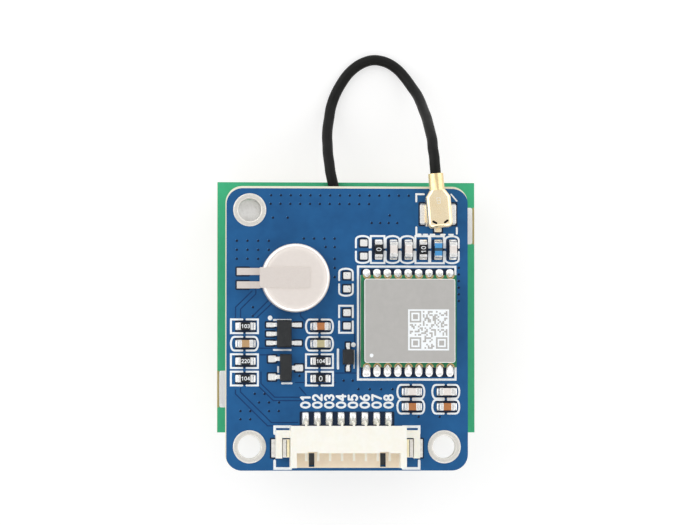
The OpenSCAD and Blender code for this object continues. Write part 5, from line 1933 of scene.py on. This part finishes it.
@dataclass
class Antenna:
    """The patch antenna under the board, with its screening can and the foam pad on that."""

    pad_rise: float = 0.06
    gilt_width: float = 0.2
    gilt_height: float = 0.02
    foam_swell: float = 0.12
    foam_corner: float = 0.5

    def build(self) -> None:
        """Makes the antenna's pieces from the surface up."""
        soft_copy("ceramic_patch", "patch_block", [PATCH_CERAMIC], edge=0.06)
        dress("patch_electrode", SILVER_PRINT)
        dress("ground_electrode", SILVER_PRINT)
        dress("feed_pin", SOLDER)
        soft_copy("antenna_board", "antenna_plate", [GREEN_MASK, LAMINATE],
                  paint=Paint.WALLS)
        self._edge_pads()
        # The can's top takes the painted light and its walls the painted shade.
        soft_copy("antenna_can", "screening_can", [CAN_TOP_LIT, CAN_SHADED_SIDE], edge=0.18, segments=3,
                  paint=Paint.WALLS)
        for node, finish in (("amplifier_chip", EPOXY), ("amplifier_filter", INSULATOR),
                             ("braid_joint", SOLDER)):
            dress(node, finish)
        self._foam()

    def _edge_pads(self) -> None:
        """Tinned edge pads and the strip of gilt left along the board's edge beside each."""
        plate = Box.of("antenna_board")
        shapes = []
        for box in solid_boxes("edge_pads"):
            shapes.append(domed_pad(box, self.pad_rise, 14.0, 16))
            side = 1 if box.centre[0] > plate.centre[0] else -1
            edge = plate.high[0] if side > 0 else plate.low[0]
            inner = edge - side * self.gilt_width
            low = np.array([min(edge, inner), box.low[1], box.low[2]])
            high = np.array([max(edge, inner), box.high[1], box.low[2] + self.gilt_height])
            shapes.append(rounded_slab(Box(low, high), 0.02, 0.006, 1, 1).painted(1))
        add_piece("ground_pads", shapes, [EDGE_TIN, EDGE_GILT], ("edge_pads",))

    def _foam(self) -> None:
        """The foam pad, whose sides swell a little between its two skins."""
        box = Box.of("adhesive_pad")
        share = np.linspace(0, 1, 7)
        inset = self.foam_swell * (1 - np.sin(np.pi * share))
        width, length, height = box.size
        rings = [
            flat_ring(rounded_outline(width - 2 * step, length - 2 * step, self.foam_corner, 5),
                      box.low[2] + part * height)
            for step, part in zip(inset, share)
        ]
        pad = loft(np.stack(rings)).moved(*box.centre[:2])
        add_piece("foam_pad", [pad], [FOAM], ("adhesive_pad",))


# Studio


@dataclass
class Studio:
    """White floor, soft light and the camera.

    A lamp is its name, its turn about the module in degrees and its power. Lengths of the floor
    and the lamps are metres, and those of the camera are millimetres.
    """

    floor_side: float = 3.0
    paper: float = 0.9
    seen_paper: float = 0.5
    paper_glow: float = 0.58
    lamps: tuple = (
        ("key", 155.0, 1.1), ("fill", 10.0, 0.7), ("front", 262.0, 0.9), ("back", 75.0, 0.44),
    )
    lamp_range: float = 0.46
    lamp_side: float = 0.55
    lamp_polar: float = 57.0
    zenith: float = 0.78
    zenith_start: float = 0.5
    ambient: float = 0.5
    camera_range: float = 420.0
    target: tuple[float, float, float] = (0.116, 6.58, 10.0)
    tilt_left: float = 3.5
    tilt_front: float = 2.3
    view_width: float = 73.68
    film_width: float = 36.0

    def build(self) -> None:
        """Makes the floor, the world, the lamps and the camera."""
        scene = bpy.context.scene
        scene.view_settings.view_transform = "Standard"
        self._floor()
        self._world(scene)
        for name, turn, power in self.lamps:
            self._lamp(name, turn, power)
        self._camera(scene)

    def _floor(self) -> None:
        """Large white floor, which to the eye and in reflections glows as well as it takes light."""
        half = self.floor_side / 2
        mesh = bpy.data.meshes.new("floor")
        corners = [(-half, -half, 0), (half, -half, 0), (half, half, 0), (-half, half, 0)]
        mesh.from_pydata(corners, [], [(0, 1, 2, 3)])
        floor = bpy.data.objects.new("floor", mesh)
        bpy.context.scene.collection.objects.link(floor)
        paper = bpy.data.materials.new("white_paper")
        paper.use_nodes = True
        w = Wiring(paper.node_tree)
        w.tree.nodes.remove(w.tree.nodes["Principled BSDF"])
        plain, shaded = (
            w.add("ShaderNodeBsdfDiffuse", {"Color": (grey, grey, grey, 1)}).outputs[0]
            for grey in (self.paper, self.seen_paper)
        )
        glow = w.add("ShaderNodeEmission", {"Color": (1, 1, 1, 1),
                                            "Strength": self.paper_glow}).outputs[0]
        shown = w.add("ShaderNodeAddShader", {0: shaded, 1: glow}).outputs[0]
        both = w.add("ShaderNodeMixShader", {0: self._seen(w), 1: plain, 2: shown}).outputs[0]
        w.tree.links.new(both, w.tree.nodes["Material Output"].inputs["Surface"])
        mesh.materials.append(paper)

    def _seen(self, w: Wiring) -> Socket:
        """One for rays that show a thing to the eye or in a reflection, nought for the rest.

        Args:
            w: wiring of the tree that asks.

        Returns:
            The socket that says so.
        """
        path = w.add("ShaderNodeLightPath").outputs
        mirrored = w.math("MAXIMUM", path["Is Glossy Ray"], path["Is Transmission Ray"])
        return w.math("MAXIMUM", path["Is Camera Ray"], mirrored)

    def _world(self, scene: bpy.types.Scene) -> None:
        """White round the sides and greyer overhead, and softer as light than as background.

        Args:
            scene: the scene that gets the world.
        """
        world = bpy.data.worlds.new("studio")
        world.use_nodes = True
        w = Wiring(world.node_tree)
        back = world.node_tree.nodes["Background"]
        back.inputs["Color"].default_value = (1, 1, 1, 1)
        way = w.add("ShaderNodeTexCoord").outputs["Generated"]
        rise = w.add("ShaderNodeSeparateXYZ", {0: way}).outputs[2]
        shade = w.add("ShaderNodeMapRange", {"Value": rise, "From Min": self.zenith_start,
                                             "From Max": 1.0, "To Min": 1.0,
                                             "To Max": self.zenith}).outputs[0]
        level = w.add("ShaderNodeMapRange", {"Value": self._seen(w), "To Min": self.ambient,
                                             "To Max": 1.0}).outputs[0]
        w.tree.links.new(w.math("MULTIPLY", shade, level), back.inputs["Strength"])
        scene.world = world

    def _lamp(self, name: str, turn: float, power: float) -> None:
        """Square soft lamp beside the module, facing it.

        Args:
            name: the lamp's name.
            turn: its turn about the module, in degrees.
            power: its power in watts.
        """
        polar, about = math.radians(self.lamp_polar), math.radians(turn)
        place = self.lamp_range * Vector((math.sin(polar) * math.cos(about),
                                          math.sin(polar) * math.sin(about), math.cos(polar)))
        lamp = bpy.data.lights.new(name, "AREA")
        lamp.size = self.lamp_side
        lamp.energy = power
        holder = bpy.data.objects.new(name, lamp)
        holder.location = place
        holder.rotation_euler = (-place).to_track_quat("-Z", "Y").to_euler()
        bpy.context.scene.collection.objects.link(holder)

    def _camera(self, scene: bpy.types.Scene) -> None:
        """Camera above the board, a little to the left and to the front, upright along +Y.

        Args:
            scene: the scene that gets the camera.
        """
        away = Vector((-math.tan(math.radians(self.tilt_left)),
                       -math.tan(math.radians(self.tilt_front)), 1.0)).normalized()
        right = Vector((0, 1, 0)).cross(away).normalized()
        up = away.cross(right)
        data = bpy.data.cameras.new("camera")
        data.sensor_width = self.film_width
        data.lens = self.film_width * self.camera_range / self.view_width
        camera = bpy.data.objects.new("camera", data)
        turn = Matrix((right, up, away)).transposed().to_4x4()
        place = Vector(self.target) * MM + away * self.camera_range * MM
        camera.matrix_world = Matrix.Translation(place) @ turn
        scene.collection.objects.link(camera)
        scene.camera = camera


def main() -> None:
    """Builds the sub-assemblies in order."""
    logging.basicConfig(level=logging.INFO, format="%(name)s: %(message)s")
    for assembly in (Studio(), CoaxialJoint(), MainBoard(), ChipParts(), Receiver(), BackupCell(),
                     Header(), MouldedParts(), Antenna()):
        assembly.build()


if __name__ == "__main__":
    main()
